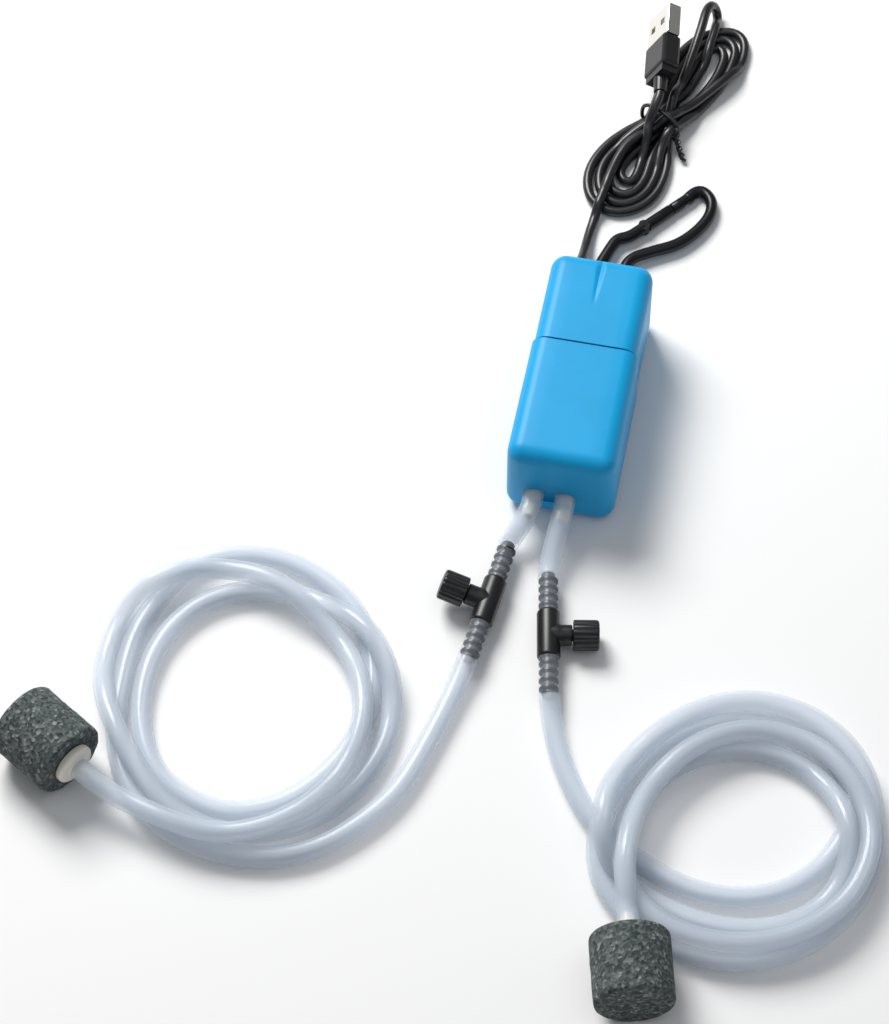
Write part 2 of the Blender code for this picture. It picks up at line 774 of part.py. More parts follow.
def make_valve(side):
    place = valve_matrix(side)
    half = VALVE_BARREL / 2
    barb = barb_profile(2.1 * MM, 2.5 * MM, VALVE_BARB, 4, 1.8 * MM)
    upper = [(r, half + h) for r, h in barb]
    lower = [(r, -half - h) for r, h in reversed(barb)]
    barrel = [(VALVE_RADIUS, -half), (VALVE_RADIUS, half)]
    profile = [(0, lower[0][1]), *lower, *barrel, *upper, (0, upper[-1][1])]
    body = add_part(f"valve_body_{side}", turned_mesh("valve", profile, axis="y", steps=16), "black")
    body.matrix_world = place
    unite(body, rod_mesh("branch", "x", (0, 0, 0), (BRANCH_END, 0, 0), 3.2 * MM, sides=16), place)
    flow = half + VALVE_BARB + 1 * MM
    cut(body, rod_mesh("flow_bore", "y", (0, -flow, 0), (0, flow, 0), 1.1 * MM, sides=12), place)
    cut(
        body,
        rod_mesh("needle_bore", "x", (0.2 * MM, 0, 0), (BRANCH_END + 1 * MM, 0, 0), 2.2 * MM, sides=16),
        place,
    )

    stem = [
        (0, 1.6), (0.5, 1.6), (1.2, 2.6), (1.2, 3.6), (1.7, 3.6), (1.7, 4.0), (1.2, 4.0), (1.2, 5.0),
        (1.7, 5.0),
        (1.7, 7.5), (0, 7.5),
    ]
    knob = add_part(f"valve_knob_{side}", knob_mesh(), "black")
    knob.matrix_world = place
    unite(knob, turned_mesh("stem", [(r * MM, h * MM) for r, h in stem], axis="x", steps=16), place)
    ring = [(1.4, 4.2), (1.9, 4.2), (1.9, 4.8), (1.4, 4.8)]
    seal = add_part(
        f"o_ring_{side}",
        turned_mesh("seal", [(r * MM, h * MM) for r, h in ring], axis="x", steps=16),
        "rubber",
    )
    seal.matrix_world = place


def knob_mesh():
    """The fluted grip: an outline whose radius rises and falls, along X, with a rounded outer end."""
    flutes, ridges = 15, (1.0, 1.0, 0.93, 0.93)
    count = flutes * len(ridges)
    layers = [
        (KNOB_START, 0.98), (KNOB_START + KNOB_LENGTH - 0.9 * MM, 1.0), (KNOB_START + KNOB_LENGTH, 0.86)
    ]
    shape = bmesh.new()
    rings = []
    for x, share in layers:
        ring = []
        for index in range(count):
            angle = math.tau * index / count
            radius = KNOB_RADIUS * share * ridges[index % len(ridges)]
            ring.append(shape.verts.new((x, radius * math.cos(angle), radius * math.sin(angle))))
        rings.append(ring)
    for low, high in zip(rings, rings[1:]):
        for index in range(count):
            after = (index + 1) % count
            shape.faces.new((low[index], low[after], high[after], high[index]))
    shape.faces.new(rings[0])
    shape.faces.new(rings[-1])
    bmesh.ops.recalc_face_normals(shape, faces=shape.faces)
    mesh = bpy.data.meshes.new("knob")
    shape.to_mesh(mesh)
    shape.free()
    return mesh


def make_stone(side):
    spec = STONES[side]
    face = Vector((*spec["face"], 0)) * MM + Vector((0, 0, STONE_RADIUS))
    place = Matrix.Translation(face) @ Matrix.Rotation(math.radians(spec["turn"]), 4, "Z")
    r, length, edge = STONE_RADIUS, STONE_LENGTH, 1.2 * MM
    pocket = 4 * MM
    profile = [
        (0, pocket), (5.0 * MM, pocket), (5.0 * MM, 0), (r - edge, 0), (r, edge), (r, length - edge),
        (r - edge, length), (0, length),
    ]
    stone = add_part(f"air_stone_{side}", turned_mesh("stone", profile, axis="x", steps=28), "stone")
    stone.matrix_world = place
    cap = [
        (0, 3.6), (4.6, 3.6), (4.6, -0.3), (6.0, -0.3), (6.0, -1.6), (5.4, -2.3), (3.0, -2.3), (2.4, -2.9),
        (2.0, -2.9),
        (2.2, -4.4), (1.8, -6.4), (0, -6.4),
    ]
    lid = add_part(
        f"stone_cap_{side}",
        turned_mesh("cap", [(a * MM, b * MM) for a, b in cap], axis="x", steps=24),
        "white",
    )
    lid.matrix_world = place
    cut(lid, rod_mesh("cap_bore", "x", (-8 * MM, 0, 0), (2.5 * MM, 0, 0), 1.0 * MM, sides=12), place)


def make_coil(side):
    """The space that the coiled hose fills: a turned ring with rounded edges, a little longer one way."""
    spec = COILS[side]
    radius_x, radius_y = spec["radius"]
    half, height, corner = spec["half_width"], spec["height"], 2.5
    outline = []
    for centre_r, centre_h, start in ((half - corner, corner, -90), (half - corner, height - corner, 0),
                                      (corner - half, height - corner, 90), (corner - half, corner, 180)):
        for step in range(2):
            angle = math.radians(start + 90 * step)
            outline.append(
                (
                    (radius_x + centre_r + corner * math.cos(angle)) * MM,
                    (centre_h + corner * math.sin(angle)) * MM,
                )
            )
    ring = add_part(f"hose_coil_{side}", turned_mesh("coil", outline, steps=40), "hose")
    ring.location = Vector((*spec["centre"], 0)) * MM
    ring.scale = (1.0, radius_y / radius_x, 1.0)


def make_hoses():
    for side in ("left", "right"):
        add_tube(f"hose_short_{side}", smooth_points(in_metres(SHORT_HOSES[side]), 3 * MM), HOSE, "hose", 4)
        add_tube(f"hose_lead_{side}", smooth_points(in_metres(LEADS[side]), 10 * MM), HOSE, "hose", 4)
        make_coil(side)
    for side, route in TAILS.items():
        add_tube(f"hose_tail_{side}", smooth_points(in_metres(route), 4 * MM), HOSE, "hose", 4)


# --- USB cable ------------------------------------------------------------------------------------


def hank_half_width(along, length):
    """Half the hank's width at a distance along it: a round lower lobe, a waist, a round upper lobe."""
    waist = length * HANK_WAIST_AT
    top = length - HANK_HIGH_RADIUS
    if along <= HANK_LOW_RADIUS:
        return math.sqrt(max(0.0, HANK_LOW_RADIUS**2 - (HANK_LOW_RADIUS - along) ** 2))
    if along >= top:
        return math.sqrt(max(0.0, HANK_HIGH_RADIUS**2 - (along - top) ** 2))
    if along < waist:
        share, wide = (waist - along) / (waist - HANK_LOW_RADIUS), HANK_LOW_RADIUS
    else:
        share, wide = (along - waist) / (top - waist), HANK_HIGH_RADIUS
    return HANK_WAIST + (wide - HANK_WAIST) * (0.5 - 0.5 * math.cos(math.pi * share))


def make_hank():
    low, high = Vector(HANK_LOW) * MM, Vector(HANK_HIGH) * MM
    axis = (high - low).normalized()
    across = Vector((-axis.y, axis.x))
    length = (high - low).length + HANK_LOW_RADIUS + HANK_HIGH_RADIUS
    start = low - axis * HANK_LOW_RADIUS
    shares = [0.5 - 0.5 * math.cos(math.pi * step / 28) for step in range(29)]
    right = [start + axis * length * s - across * hank_half_width(length * s, length) for s in shares]
    left = [start + axis * length * s + across * hank_half_width(length * s, length) for s in shares[1:-1]]
    data = bpy.data.curves.new("cable_hank", "CURVE")
    data.dimensions = "2D"
    data.fill_mode = "BOTH"
    data.extrude = HANK_THICKNESS / 2
    spline = data.splines.new("POLY")
    points = right + left[::-1]
    spline.points.add(len(points) - 1)
    for place, point in zip(spline.points, points):
        place.co = (point.x, point.y, 0, 1)
    spline.use_cyclic_u = True
    outline = bpy.data.objects.new("cable_hank", data)
    PARTS.objects.link(outline)
    outline.location.z = HANK_BASE + HANK_THICKNESS / 2
    as_mesh_piece(outline, "cable")

    centre = start + axis * length * HANK_WAIST_AT
    half_x, half_z, wire = HANK_WAIST + 1.1 * MM, HANK_THICKNESS / 2 + 0.8 * MM, 0.9 * MM
    loop = []
    for step in range(24):
        angle = math.tau * step / 24
        x = half_x * math.copysign(abs(math.cos(angle)) ** 0.45, math.cos(angle))
        z = half_z * math.copysign(abs(math.sin(angle)) ** 0.45, math.sin(angle))
        loop.append(
            Vector((centre.x - across.x * x, centre.y - across.y * x, HANK_BASE + HANK_THICKNESS / 2 + z))
        )
    add_tube("cable_tie", loop, wire, "cable", 1, closed=True)


def make_plug():
    """The USB-A plug on its edge: a stepped grip, a folded metal shell, and the tongue inside it."""
    place = Matrix.Translation(Vector(PLUG_PLACE) * MM) @ Matrix.Rotation(math.radians(PLUG_TURN), 4, "Z")
    place = place @ Matrix.Rotation(math.radians(PLUG_ROLL), 4, "Y")
    grip = add_part(
        "usb_grip", box_mesh("grip", (-5.9 * MM, 2.2 * MM, -3 * MM), (5.9 * MM, 13.4 * MM, 3 * MM)), "black"
    )
    grip.matrix_world = place
    bevel = grip.modifiers.new("Bevel", "BEVEL")
    bevel.width = 0.9 * MM
    bevel.segments = 2
    step = box_mesh("step", (-4.8 * MM, -0.2 * MM, -2.5 * MM), (4.8 * MM, 3.2 * MM, 2.5 * MM))
    unite(grip, step, place)
    neck = [(0, -5.2 * MM), (1.9 * MM, -5.2 * MM), (2.3 * MM, -0.6 * MM), (2.4 * MM, 1 * MM), (0, 1 * MM)]
    unite(grip, turned_mesh("neck", neck, axis="y", steps=20), place)
    shell_start, shell_end = 13.7 * MM, 24.9 * MM
    shell = add_part(
        "usb_shell",
        box_mesh("shell", (-6 * MM, shell_start, -2.25 * MM), (6 * MM, shell_end, 2.25 * MM)),
        "steel",
    )
    shell.matrix_world = place
    rounding = shell.modifiers.new("Bevel", "BEVEL")
    rounding.width = 0.3 * MM
    rounding.segments = 1
    cut(
        shell,
        box_mesh("mouth", (-5.65 * MM, shell_start + 1 * MM, -1.9 * MM), (5.65 * MM, 40 * MM, 1.9 * MM)),
        place,
    )
    for x in (-2.8 * MM, 2.8 * MM):
        for z in (-2 * MM, 2 * MM):
            window = box_mesh(
                "window", (x - 1.1 * MM, 18.2 * MM, z - 1 * MM), (x + 1.1 * MM, 20.4 * MM, z + 1 * MM)
            )
            cut(shell, window, place)
    tongue = box_mesh("tongue", (-5.35 * MM, 15.0 * MM, -1.6 * MM), (5.35 * MM, 24 * MM, 0.1 * MM))
    add_part("usb_tongue", tongue, "white").matrix_world = place


def make_cable():
    x, _, z = CABLE_EXIT
    profile = [
        (0, -2.8), (2.9, -2.8), (2.9, -1.9), (2.2, -1.9), (2.2, 0.3), (2.6, 0.3), (2.6, 1.2),
        (1.8, RELIEF_END / MM),
        (0, RELIEF_END / MM),
    ]
    relief = add_part(
        "strain_relief",
        turned_mesh("relief", [(r * MM, h * MM) for r, h in profile], axis="y", steps=20),
        "rubber",
    )
    relief.location = (x, REAR_Y, z)
    add_tube("cable_lead", smooth_points(in_metres(CABLE_LEAD), 7 * MM), CABLE, "cable", 2)
    add_tube("cable_tail", smooth_points(in_metres(CABLE_TAIL), 3 * MM), CABLE, "cable", 2)
    make_hank()
    make_plug()


# --- snap hook ------------------------------------------------------------------------------------


def make_hook():
    """A pear-shaped snap hook: a bent bar through the eyelet, and a gate on a pin at the bar's near end."""
    pivot = Vector((EYELET_X, EYELET_Y, EYELET_Z))
    place = Matrix.Translation(pivot) @ Matrix.Rotation(math.radians(HOOK_PITCH), 4, "X")
    route = [Vector((x * MM - pivot.x, y * MM - pivot.y, 0)) for x, y in HOOK_LOOP]
    bar = add_tube("hook_bar", smooth_points(route, 2.9 * MM), HOOK_BAR, "anodised", 4)
    bar.matrix_world = place
    bar = as_mesh_piece(bar, "anodised")

    hinge, nose = route[0], route[-1]
    along = (nose - hinge).normalized()
    gate_frame = place @ Matrix.Translation(hinge) @ Matrix.Rotation(math.atan2(along.y, along.x), 4, "Z")
    radius, slot, tongue = HOOK_BAR / 2, 0.95 * MM, 0.65 * MM
    for sign in (-1, 1):
        z_low, z_high = sorted((sign * tongue, sign * 3 * MM))
        cut(bar, box_mesh("tongue_side", (-2.6 * MM, -4 * MM, z_low), (4 * MM, 4 * MM, z_high)), gate_frame)
    unite(bar, rod_mesh("tongue_eye", "z", (0, 0, -tongue), (0, 0, tongue), radius, sides=20), gate_frame)
    cut(bar, rod_mesh("pin_hole", "z", (0, 0, -3 * MM), (0, 0, 3 * MM), 0.8 * MM, sides=12), gate_frame)

    length = (nose - hinge).length - GATE_GAP
    gate = add_part(
        "hook_gate", rod_mesh("gate", "x", (-radius, 0, 0), (length, 0, 0), radius, sides=20), "anodised"
    )
    gate.matrix_world = gate_frame
    cut(gate, box_mesh("fork", (-4 * MM, -4 * MM, -slot), (3.4 * MM, 4 * MM, slot)), gate_frame)
    cut(gate, rod_mesh("gate_hole", "z", (0, 0, -3 * MM), (0, 0, 3 * MM), 0.8 * MM, sides=12), gate_frame)
    pin = add_part(
        "gate_pin", rod_mesh("pin", "z", (0, 0, -radius), (0, 0, radius), 0.5 * MM, sides=16), "steel"
    )
    pin.matrix_world = gate_frame


make_front_shell()
make_rear_cover()
make_chassis()
make_valve_block()
make_gasket()
make_manifold()
make_block_screws()
for sign, side_name in ((-1, "left"), (1, "right")):
    make_pumping_side(sign, side_name)
    make_valve(side_name)
    make_stone(side_name)
make_electromagnet()
make_circuit()
make_hoses()
make_cable()
make_hook()
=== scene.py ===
import json
import math

import bmesh
import bpy
import numpy as np
from mathutils import Matrix, Vector, noise


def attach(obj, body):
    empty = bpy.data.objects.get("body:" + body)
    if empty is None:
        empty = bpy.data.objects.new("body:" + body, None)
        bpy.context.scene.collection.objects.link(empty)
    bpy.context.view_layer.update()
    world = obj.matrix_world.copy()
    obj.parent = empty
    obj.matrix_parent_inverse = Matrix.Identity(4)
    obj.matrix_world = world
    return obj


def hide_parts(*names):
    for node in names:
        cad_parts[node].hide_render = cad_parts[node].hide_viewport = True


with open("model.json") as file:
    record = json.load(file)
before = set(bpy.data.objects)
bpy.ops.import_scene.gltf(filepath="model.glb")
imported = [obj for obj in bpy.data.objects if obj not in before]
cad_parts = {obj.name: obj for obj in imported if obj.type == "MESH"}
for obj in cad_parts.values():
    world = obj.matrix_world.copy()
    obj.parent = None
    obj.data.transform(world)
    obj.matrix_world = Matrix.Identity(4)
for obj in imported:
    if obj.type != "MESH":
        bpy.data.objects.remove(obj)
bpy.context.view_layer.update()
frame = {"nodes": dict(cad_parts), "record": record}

MM = 0.001
SIDES = ("left", "right")

# Places that the CAD model sets, in millimetres where MM isn't used.
FRONT_Y = -36.0
RECESS_Y = -35.2
OUTLET_X = {"left": -7.2, "right": 2.0}
OUTLET_Z = 9.5
HOSE = 6.0
HOSE_BORE = 4.2
VALVES = {
    "left": {"place": (-13.6, -70.5, 4.7), "turn": 174.0, "tilt": -14.0},
    "right": {"place": (5.0, -77.9, 4.7), "turn": 10.7, "tilt": 0.0},
}
BARREL = 7.5
BARB = 12.5
STONE_RADIUS = 11.0
STONE_LENGTH = 20.0
STONES = {
    "left": {"face": (-115.0, -145.9, STONE_RADIUS), "turn": 148.0},
    "right": {"face": (43.4, -168.6, STONE_RADIUS), "turn": 284.0},
}
CABLE = 2.9
CABLE_EXIT = (-8.8, 43.6, 7.0)


# --- camera, floor and light ----------------------------------------------------------------------

VIEW_TARGET = Vector((-0.03197, -0.04084, 0.0))
VIEW_AZIMUTH = math.radians(11.2)
VIEW_ELEVATION = math.radians(58.0)
VIEW_DISTANCE = 1.2
LENS = 147.66


def aim(thing, place, target):
    thing.location = place
    thing.rotation_euler = (Vector(target) - Vector(place)).to_track_quat("-Z", "Y").to_euler()


def make_camera():
    data = bpy.data.cameras.new("camera")
    data.lens = LENS
    data.sensor_width = 36.0
    camera = bpy.data.objects.new("camera", data)
    bpy.context.scene.collection.objects.link(camera)
    across = math.cos(VIEW_ELEVATION)
    sideways, behind = math.sin(VIEW_AZIMUTH) * across, -math.cos(VIEW_AZIMUTH) * across
    back = Vector((sideways, behind, math.sin(VIEW_ELEVATION)))
    aim(camera, VIEW_TARGET + VIEW_DISTANCE * back, VIEW_TARGET)
    bpy.context.scene.camera = camera


def make_light(name, place, target, size, power, colour=(1.0, 1.0, 1.0)):
    data = bpy.data.lights.new(name, "AREA")
    data.shape = "RECTANGLE"
    data.size, data.size_y = size
    data.energy = power
    data.color = colour
    light = bpy.data.objects.new(name, data)
    bpy.context.scene.collection.objects.link(light)
    aim(light, place, target)


make_camera()
bpy.context.scene.view_settings.view_transform = "Standard"


# --- materials ------------------------------------------------------------------------------------


def add_link(tree, source, target):
    tree.links.new(source, target)


def principled(name, colour, roughness, **sockets):
    made = bpy.data.materials.new(name)
    made.use_nodes = True
    shader = made.node_tree.nodes["Principled BSDF"]
    shader.inputs["Base Color"].default_value = (*colour, 1.0)
    shader.inputs["Roughness"].default_value = roughness
    for socket, value in sockets.items():
        shader.inputs[socket.replace("_", " ")].default_value = value
    made.diffuse_color = (*colour, 1.0)
    return made


def node(tree, kind, **settings):
    made = tree.nodes.new(kind)
    for key, value in settings.items():
        if key in made.inputs:
            made.inputs[key].default_value = value
        else:
            setattr(made, key, value)
    return made


def object_noise(tree, scale, detail=3.0):
    """Noise in the piece's own coordinates, which are the row frame's."""
    place = node(tree, "ShaderNodeTexCoord")
    made = node(tree, "ShaderNodeTexNoise", Scale=scale, Detail=detail)
    add_link(tree, place.outputs["Object"], made.inputs["Vector"])
    return made


def mottle(material, light, dark, scale, low=0.35, high=0.65, detail=3.0):
    """Lets the colour wander between two shades."""
    tree = material.node_tree
    ramp = node(tree, "ShaderNodeValToRGB")
    ramp.color_ramp.elements[0].position = low
    ramp.color_ramp.elements[0].color = (*dark, 1.0)
    ramp.color_ramp.elements[1].position = high
    ramp.color_ramp.elements[1].color = (*light, 1.0)
    add_link(tree, object_noise(tree, scale, detail).outputs["Fac"], ramp.inputs["Fac"])
    add_link(tree, ramp.outputs["Color"], tree.nodes["Principled BSDF"].inputs["Base Color"])
    return material


def grain(material, scale, strength, distance=0.0001, detail=3.0):
    """A fine surface texture."""
    tree = material.node_tree
    bump = node(tree, "ShaderNodeBump", Strength=strength, Distance=distance)
    add_link(tree, object_noise(tree, scale, detail).outputs["Fac"], bump.inputs["Height"])
    add_link(tree, bump.outputs["Normal"], tree.nodes["Principled BSDF"].inputs["Normal"])
    return material


def scaled(colour, share):
    return tuple(min(1.0, c * share) for c in colour)


def plain_finish(name, colour, roughness, wander=0.06, scale=60.0, bump=0.08, bump_scale=2500.0, **sockets):
    made = principled(name, colour, roughness, **sockets)
    mottle(made, scaled(colour, 1 + wander), scaled(colour, 1 - wander), scale)
    return grain(made, bump_scale, bump)


def make_materials():
    finishes = {
        "housing_blue": plain_finish(
            "blue_plastic", (0.004, 0.35, 0.70), 0.42, wander=0.04, Specular_IOR_Level=0.3
        ),
        "inner_white": plain_finish("white_plastic", (0.82, 0.80, 0.74), 0.42),
        "black_plastic": plain_finish("black_plastic", (0.009, 0.009, 0.010), 0.36, wander=0.2),
        "hose_clear": principled("hose_pvc", (0.78, 0.86, 0.96), 0.16, Alpha=0.34, Specular_IOR_Level=0.6),
        "black_rubber": plain_finish("black_rubber", (0.02, 0.02, 0.02), 0.6, wander=0.2),
        "air_stone": stone_finish(),
        "cap_cream": plain_finish("cream_plastic", (0.86, 0.82, 0.72), 0.40),
        "cable_black": plain_finish(
            "cable_pvc", (0.010, 0.010, 0.012), 0.34, wander=0.2, Coat_Weight=0.2, Coat_Roughness=0.3
        ),
        "plug_metal": plain_finish(
            "nickel", (0.78, 0.76, 0.71), 0.22, wander=0.03, bump=0.03, Metallic=1.0
        ),
        "steel": plain_finish("steel", (0.62, 0.62, 0.64), 0.3, wander=0.05, Metallic=1.0),
        "core_iron": plain_finish("core_iron", (0.35, 0.35, 0.37), 0.5, wander=0.1, Metallic=1.0),
        "magnet": plain_finish("magnet", (0.16, 0.16, 0.17), 0.45, wander=0.1, Metallic=1.0),
        "copper": plain_finish("copper_wire", (0.72, 0.36, 0.18), 0.35, wander=0.1, Metallic=1.0),
        "board": plain_finish("board_green", (0.03, 0.25, 0.10), 0.5),
        "chip": plain_finish("chip_black", (0.03, 0.03, 0.03), 0.55),
        "anodised_black": plain_finish(
            "anodised_black", (0.012, 0.013, 0.016), 0.30, wander=0.2, Metallic=0.5
        ),
    }
    return finishes


def stone_finish():
    """Sintered mineral grains: dark grey-green with scattered paler and darker specks."""
    made = principled("air_stone", (0.10, 0.125, 0.125), 0.95)
    tree = made.node_tree
    place = node(tree, "ShaderNodeTexCoord")
    cells = node(tree, "ShaderNodeTexVoronoi", Scale=1150.0)
    add_link(tree, place.outputs["Object"], cells.inputs["Vector"])
    ramp = node(tree, "ShaderNodeValToRGB")
    shades = [
        (0.0, (0.022, 0.030, 0.032)), (0.4, (0.062, 0.078, 0.080)), (0.75, (0.125, 0.145, 0.142)),
        (1.0, (0.32, 0.33, 0.29)),
    ]
    elements = ramp.color_ramp.elements
    while len(elements) < len(shades):
        elements.new(0.5)
    for element, (position, colour) in zip(elements, shades):
        element.position = position
        element.color = (*colour, 1.0)
    add_link(tree, cells.outputs["Color"], ramp.inputs["Fac"])
    add_link(tree, ramp.outputs["Color"], tree.nodes["Principled BSDF"].inputs["Base Color"])
    bump = node(tree, "ShaderNodeBump", Strength=0.6, Distance=0.0004)
    add_link(tree, cells.outputs["Distance"], bump.inputs["Height"])
    add_link(tree, bump.outputs["Normal"], tree.nodes["Principled BSDF"].inputs["Normal"])
    return made


FINISH = make_materials()
STRETCHED_HOSE = principled(
    "hose_pvc_stretched", (0.74, 0.82, 0.92), 0.2, Alpha=0.13, Specular_IOR_Level=0.4
)


def paint_cad_nodes():
    for part in frame["record"]["subparts"]:
        shown = frame["nodes"][part["node"]]
        for place in shown.material_slots:
            place.material = FINISH[part["material_slot"]]


# --- shapes ---------------------------------------------------------------------------------------


def add_piece(name, mesh, finish, body="pump", smooth_angle=40, replaces=()):
    mesh.materials.clear()
    mesh.materials.append(FINISH[finish])
    mesh.shade_smooth()
    mesh.set_sharp_from_angle(angle=math.radians(smooth_angle))
    made = bpy.data.objects.new(name, mesh)
    bpy.context.scene.collection.objects.link(made)
    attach(made, body)
    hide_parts(*replaces)
    return made


def smooth_route(points, spacing, closed=False):
    """Points at an even spacing along a Catmull-Rom curve through the given ones."""
    points = np.asarray(points, float)
    if closed:
        padded = np.vstack([points[-1], points, points[0], points[1]])
    else:
        padded = np.vstack([2 * points[0] - points[1], points, 2 * points[-1] - points[-2]])
    steps = np.linspace(0, 1, 24, endpoint=False)[:, None]
    fine = []
    for a, b, c, d in zip(padded, padded[1:], padded[2:], padded[3:]):
        bend = (2 * a - 5 * b + 4 * c - d) * steps**2
        twist = (3 * b - a - 3 * c + d) * steps**3
        fine.append(0.5 * (2 * b + (c - a) * steps + bend + twist))
    fine.append(padded[1 if closed else -2][None])
    fine = np.vstack(fine)
    along = travelled(fine[:, :3])
    count = max(2, round(along[-1] / spacing))
    wanted = np.linspace(0, along[-1], count + (not closed), endpoint=not closed)
    return np.column_stack([np.interp(wanted, along, column) for column in fine.T])


def travelled(points):
    return np.concatenate([[0.0], np.cumsum(np.linalg.norm(np.diff(points, axis=0), axis=1))])


def eased(values, reach):
    """A running average, so that a cord's ramps join without a kink."""
    kernel = np.hanning(2 * reach + 3)[1:-1]
    kernel /= kernel.sum()
    before = 2 * values[0] - values[reach:0:-1]
    after = 2 * values[-1] - values[-2 : -reach - 2 : -1]
    padded = np.concatenate([before, values, after])
    made = np.convolve(padded, kernel, "valid")
    made[0], made[-1] = values[0], values[-1]
    return made


def settle(points, rank, diameter, held, rounds, passes, ease):
    """Lets a cord down onto the floor and itself.

    It starts spread out in height by rank and sinks until it touches. held counts the points at each end that
    stay where they are; ease says how strongly each round evens out the bends.
    """
    home = points.copy()
    count = len(points)
    apart = np.abs(np.arange(count)[:, None] - np.arange(count)[None]) > 3 * diameter
    close = apart & (np.hypot(*(home[:, None, :2] - home[None, :, :2]).T) < 2 * diameter)
    first, second = np.nonzero(np.triu(close))
    points = points.copy()
    drop = 0.028 * eased(rank.astype(float), 4)
    points[:, 2] = home[:, 2] + 10 * drop
    for step in range(rounds):
        points[:, 2] = np.maximum(home[:, 2], points[:, 2] - 0.16)
        for _ in range(passes):
            gap = points[second] - points[first]
            length = np.linalg.norm(gap, axis=1) + 1e-9
            push = (np.maximum(0.0, diameter - length) * 0.45 / length)[:, None] * gap
            push[:, :2] *= 0.35
            np.add.at(points, first, -push)
            np.add.at(points, second, push)
            points[:, 2] = np.maximum(points[:, 2], np.minimum(home[:, 2], diameter / 2))
        middle = (points[:-6] + points[1:-5] + points[2:-4] + points[4:-2] + points[5:-1] + points[6:]) / 6
        points[3:-3] += ease * (middle - points[3:-3])
        points[:, :2] += 0.12 * (home[:, :2] - points[:, :2])
        points[: held[0]], points[-held[1] :] = home[: held[0]], home[-held[1] :]
    return points


def sweep_frames(points, closed=False):
    """A direction and two side vectors at each point, turned as little as possible from one to the next."""
    ahead = np.roll(points, -1, axis=0) - np.roll(points, 1, axis=0)
    if not closed:
        ahead[0], ahead[-1] = points[1] - points[0], points[-1] - points[-2]
    ahead /= np.linalg.norm(ahead, axis=1)[:, None]
    upright = abs(ahead[0][2]) > 0.9
    side = np.cross(ahead[0], (1.0, 0, 0) if upright else (0, 0, 1.0))
    sides = []
    for direction in ahead:
        side = side - direction * side.dot(direction)
        side /= np.linalg.norm(side)
        sides.append(side)
    sides = np.array(sides)
    return ahead, sides, np.cross(ahead, sides)


def tube_mesh(name, points, layers, count=20, closed=False):
    """A tube along points in millimetres, with one radius for a bar, or an outer and an inner one for a hose."""
    points = np.asarray(points, float)
    _, side, up = sweep_frames(points, closed)
    angles = np.linspace(0, math.tau, count, endpoint=False)
    shape = bmesh.new()
    rings = []
    for radius in layers:
        radius = np.broadcast_to(radius, len(points))
        walls = []
        for centre, a, b, r in zip(points, side, up, radius):
            ring = [centre + r * (math.cos(t) * a + math.sin(t) * b) for t in angles]
            walls.append([shape.verts.new(point * MM) for point in ring])
        rings.append(walls)

    def join(low, high):
        for index in range(count):
            after = (index + 1) % count
            shape.faces.new((low[index], low[after], high[after], high[index]))

    for walls in rings:
        for low, high in zip(walls, walls[1:]):
            join(low, high)
        if closed:
            join(walls[-1], walls[0])
    if not closed:
        if len(rings) == 2:
            join(rings[0][0], rings[1][0])
            join(rings[0][-1], rings[1][-1])
        else:
            shape.faces.new(rings[0][0])
            shape.faces.new(rings[0][-1])
    bmesh.ops.recalc_face_normals(shape, faces=shape.faces)
    mesh = bpy.data.meshes.new(name)
    shape.to_mesh(mesh)
    shape.free()
    return mesh


def turned_mesh(name, profile, steps=64, matrix=None):
    """(radius, height) points in millimetres turned about Z. A profile that ends on the axis makes a solid."""
    shape = bmesh.new()
    ring = [shape.verts.new((r * MM, 0, h * MM)) for r, h in profile]
    edges = [shape.edges.new(pair) for pair in zip(ring, ring[1:])]
    if profile[0][0] or profile[-1][0]:
        edges.append(shape.edges.new((ring[-1], ring[0])))
    bmesh.ops.spin(
        shape,
        geom=ring + edges,
        axis=(0, 0, 1),
        cent=(0, 0, 0),
        angle=math.tau,
        steps=steps,
        use_merge=True,
    )
    bmesh.ops.remove_doubles(shape, verts=shape.verts, dist=1e-7)
    bmesh.ops.recalc_face_normals(shape, faces=shape.faces)
    if matrix:
        shape.transform(matrix)
    mesh = bpy.data.meshes.new(name)
    shape.to_mesh(mesh)
    shape.free()
    return mesh


def rounded(profile, radii, steps=4):
    """The profile with its corners rounded: radii gives each point's radius."""
    made = []
    for index, (point, radius) in enumerate(zip(profile, radii)):
        corner = Vector(point)
        if not radius or index in (0, len(profile) - 1):
            made.append(tuple(corner))
            continue
        before, after = Vector(profile[index - 1]), Vector(profile[index + 1])
        one, two = (before - corner), (after - corner)
        reach = min(radius, one.length / 2.01, two.length / 2.01)
        start, stop = corner + one.normalized() * reach, corner + two.normalized() * reach
        for step in range(steps + 1):
            t = step / steps
            made.append(tuple(start * (1 - t) ** 2 + corner * 2 * t * (1 - t) + stop * t**2))
    return made


# --- hoses ----------------------------------------------------------------------------------------

HOSE_SPACING = 3.0

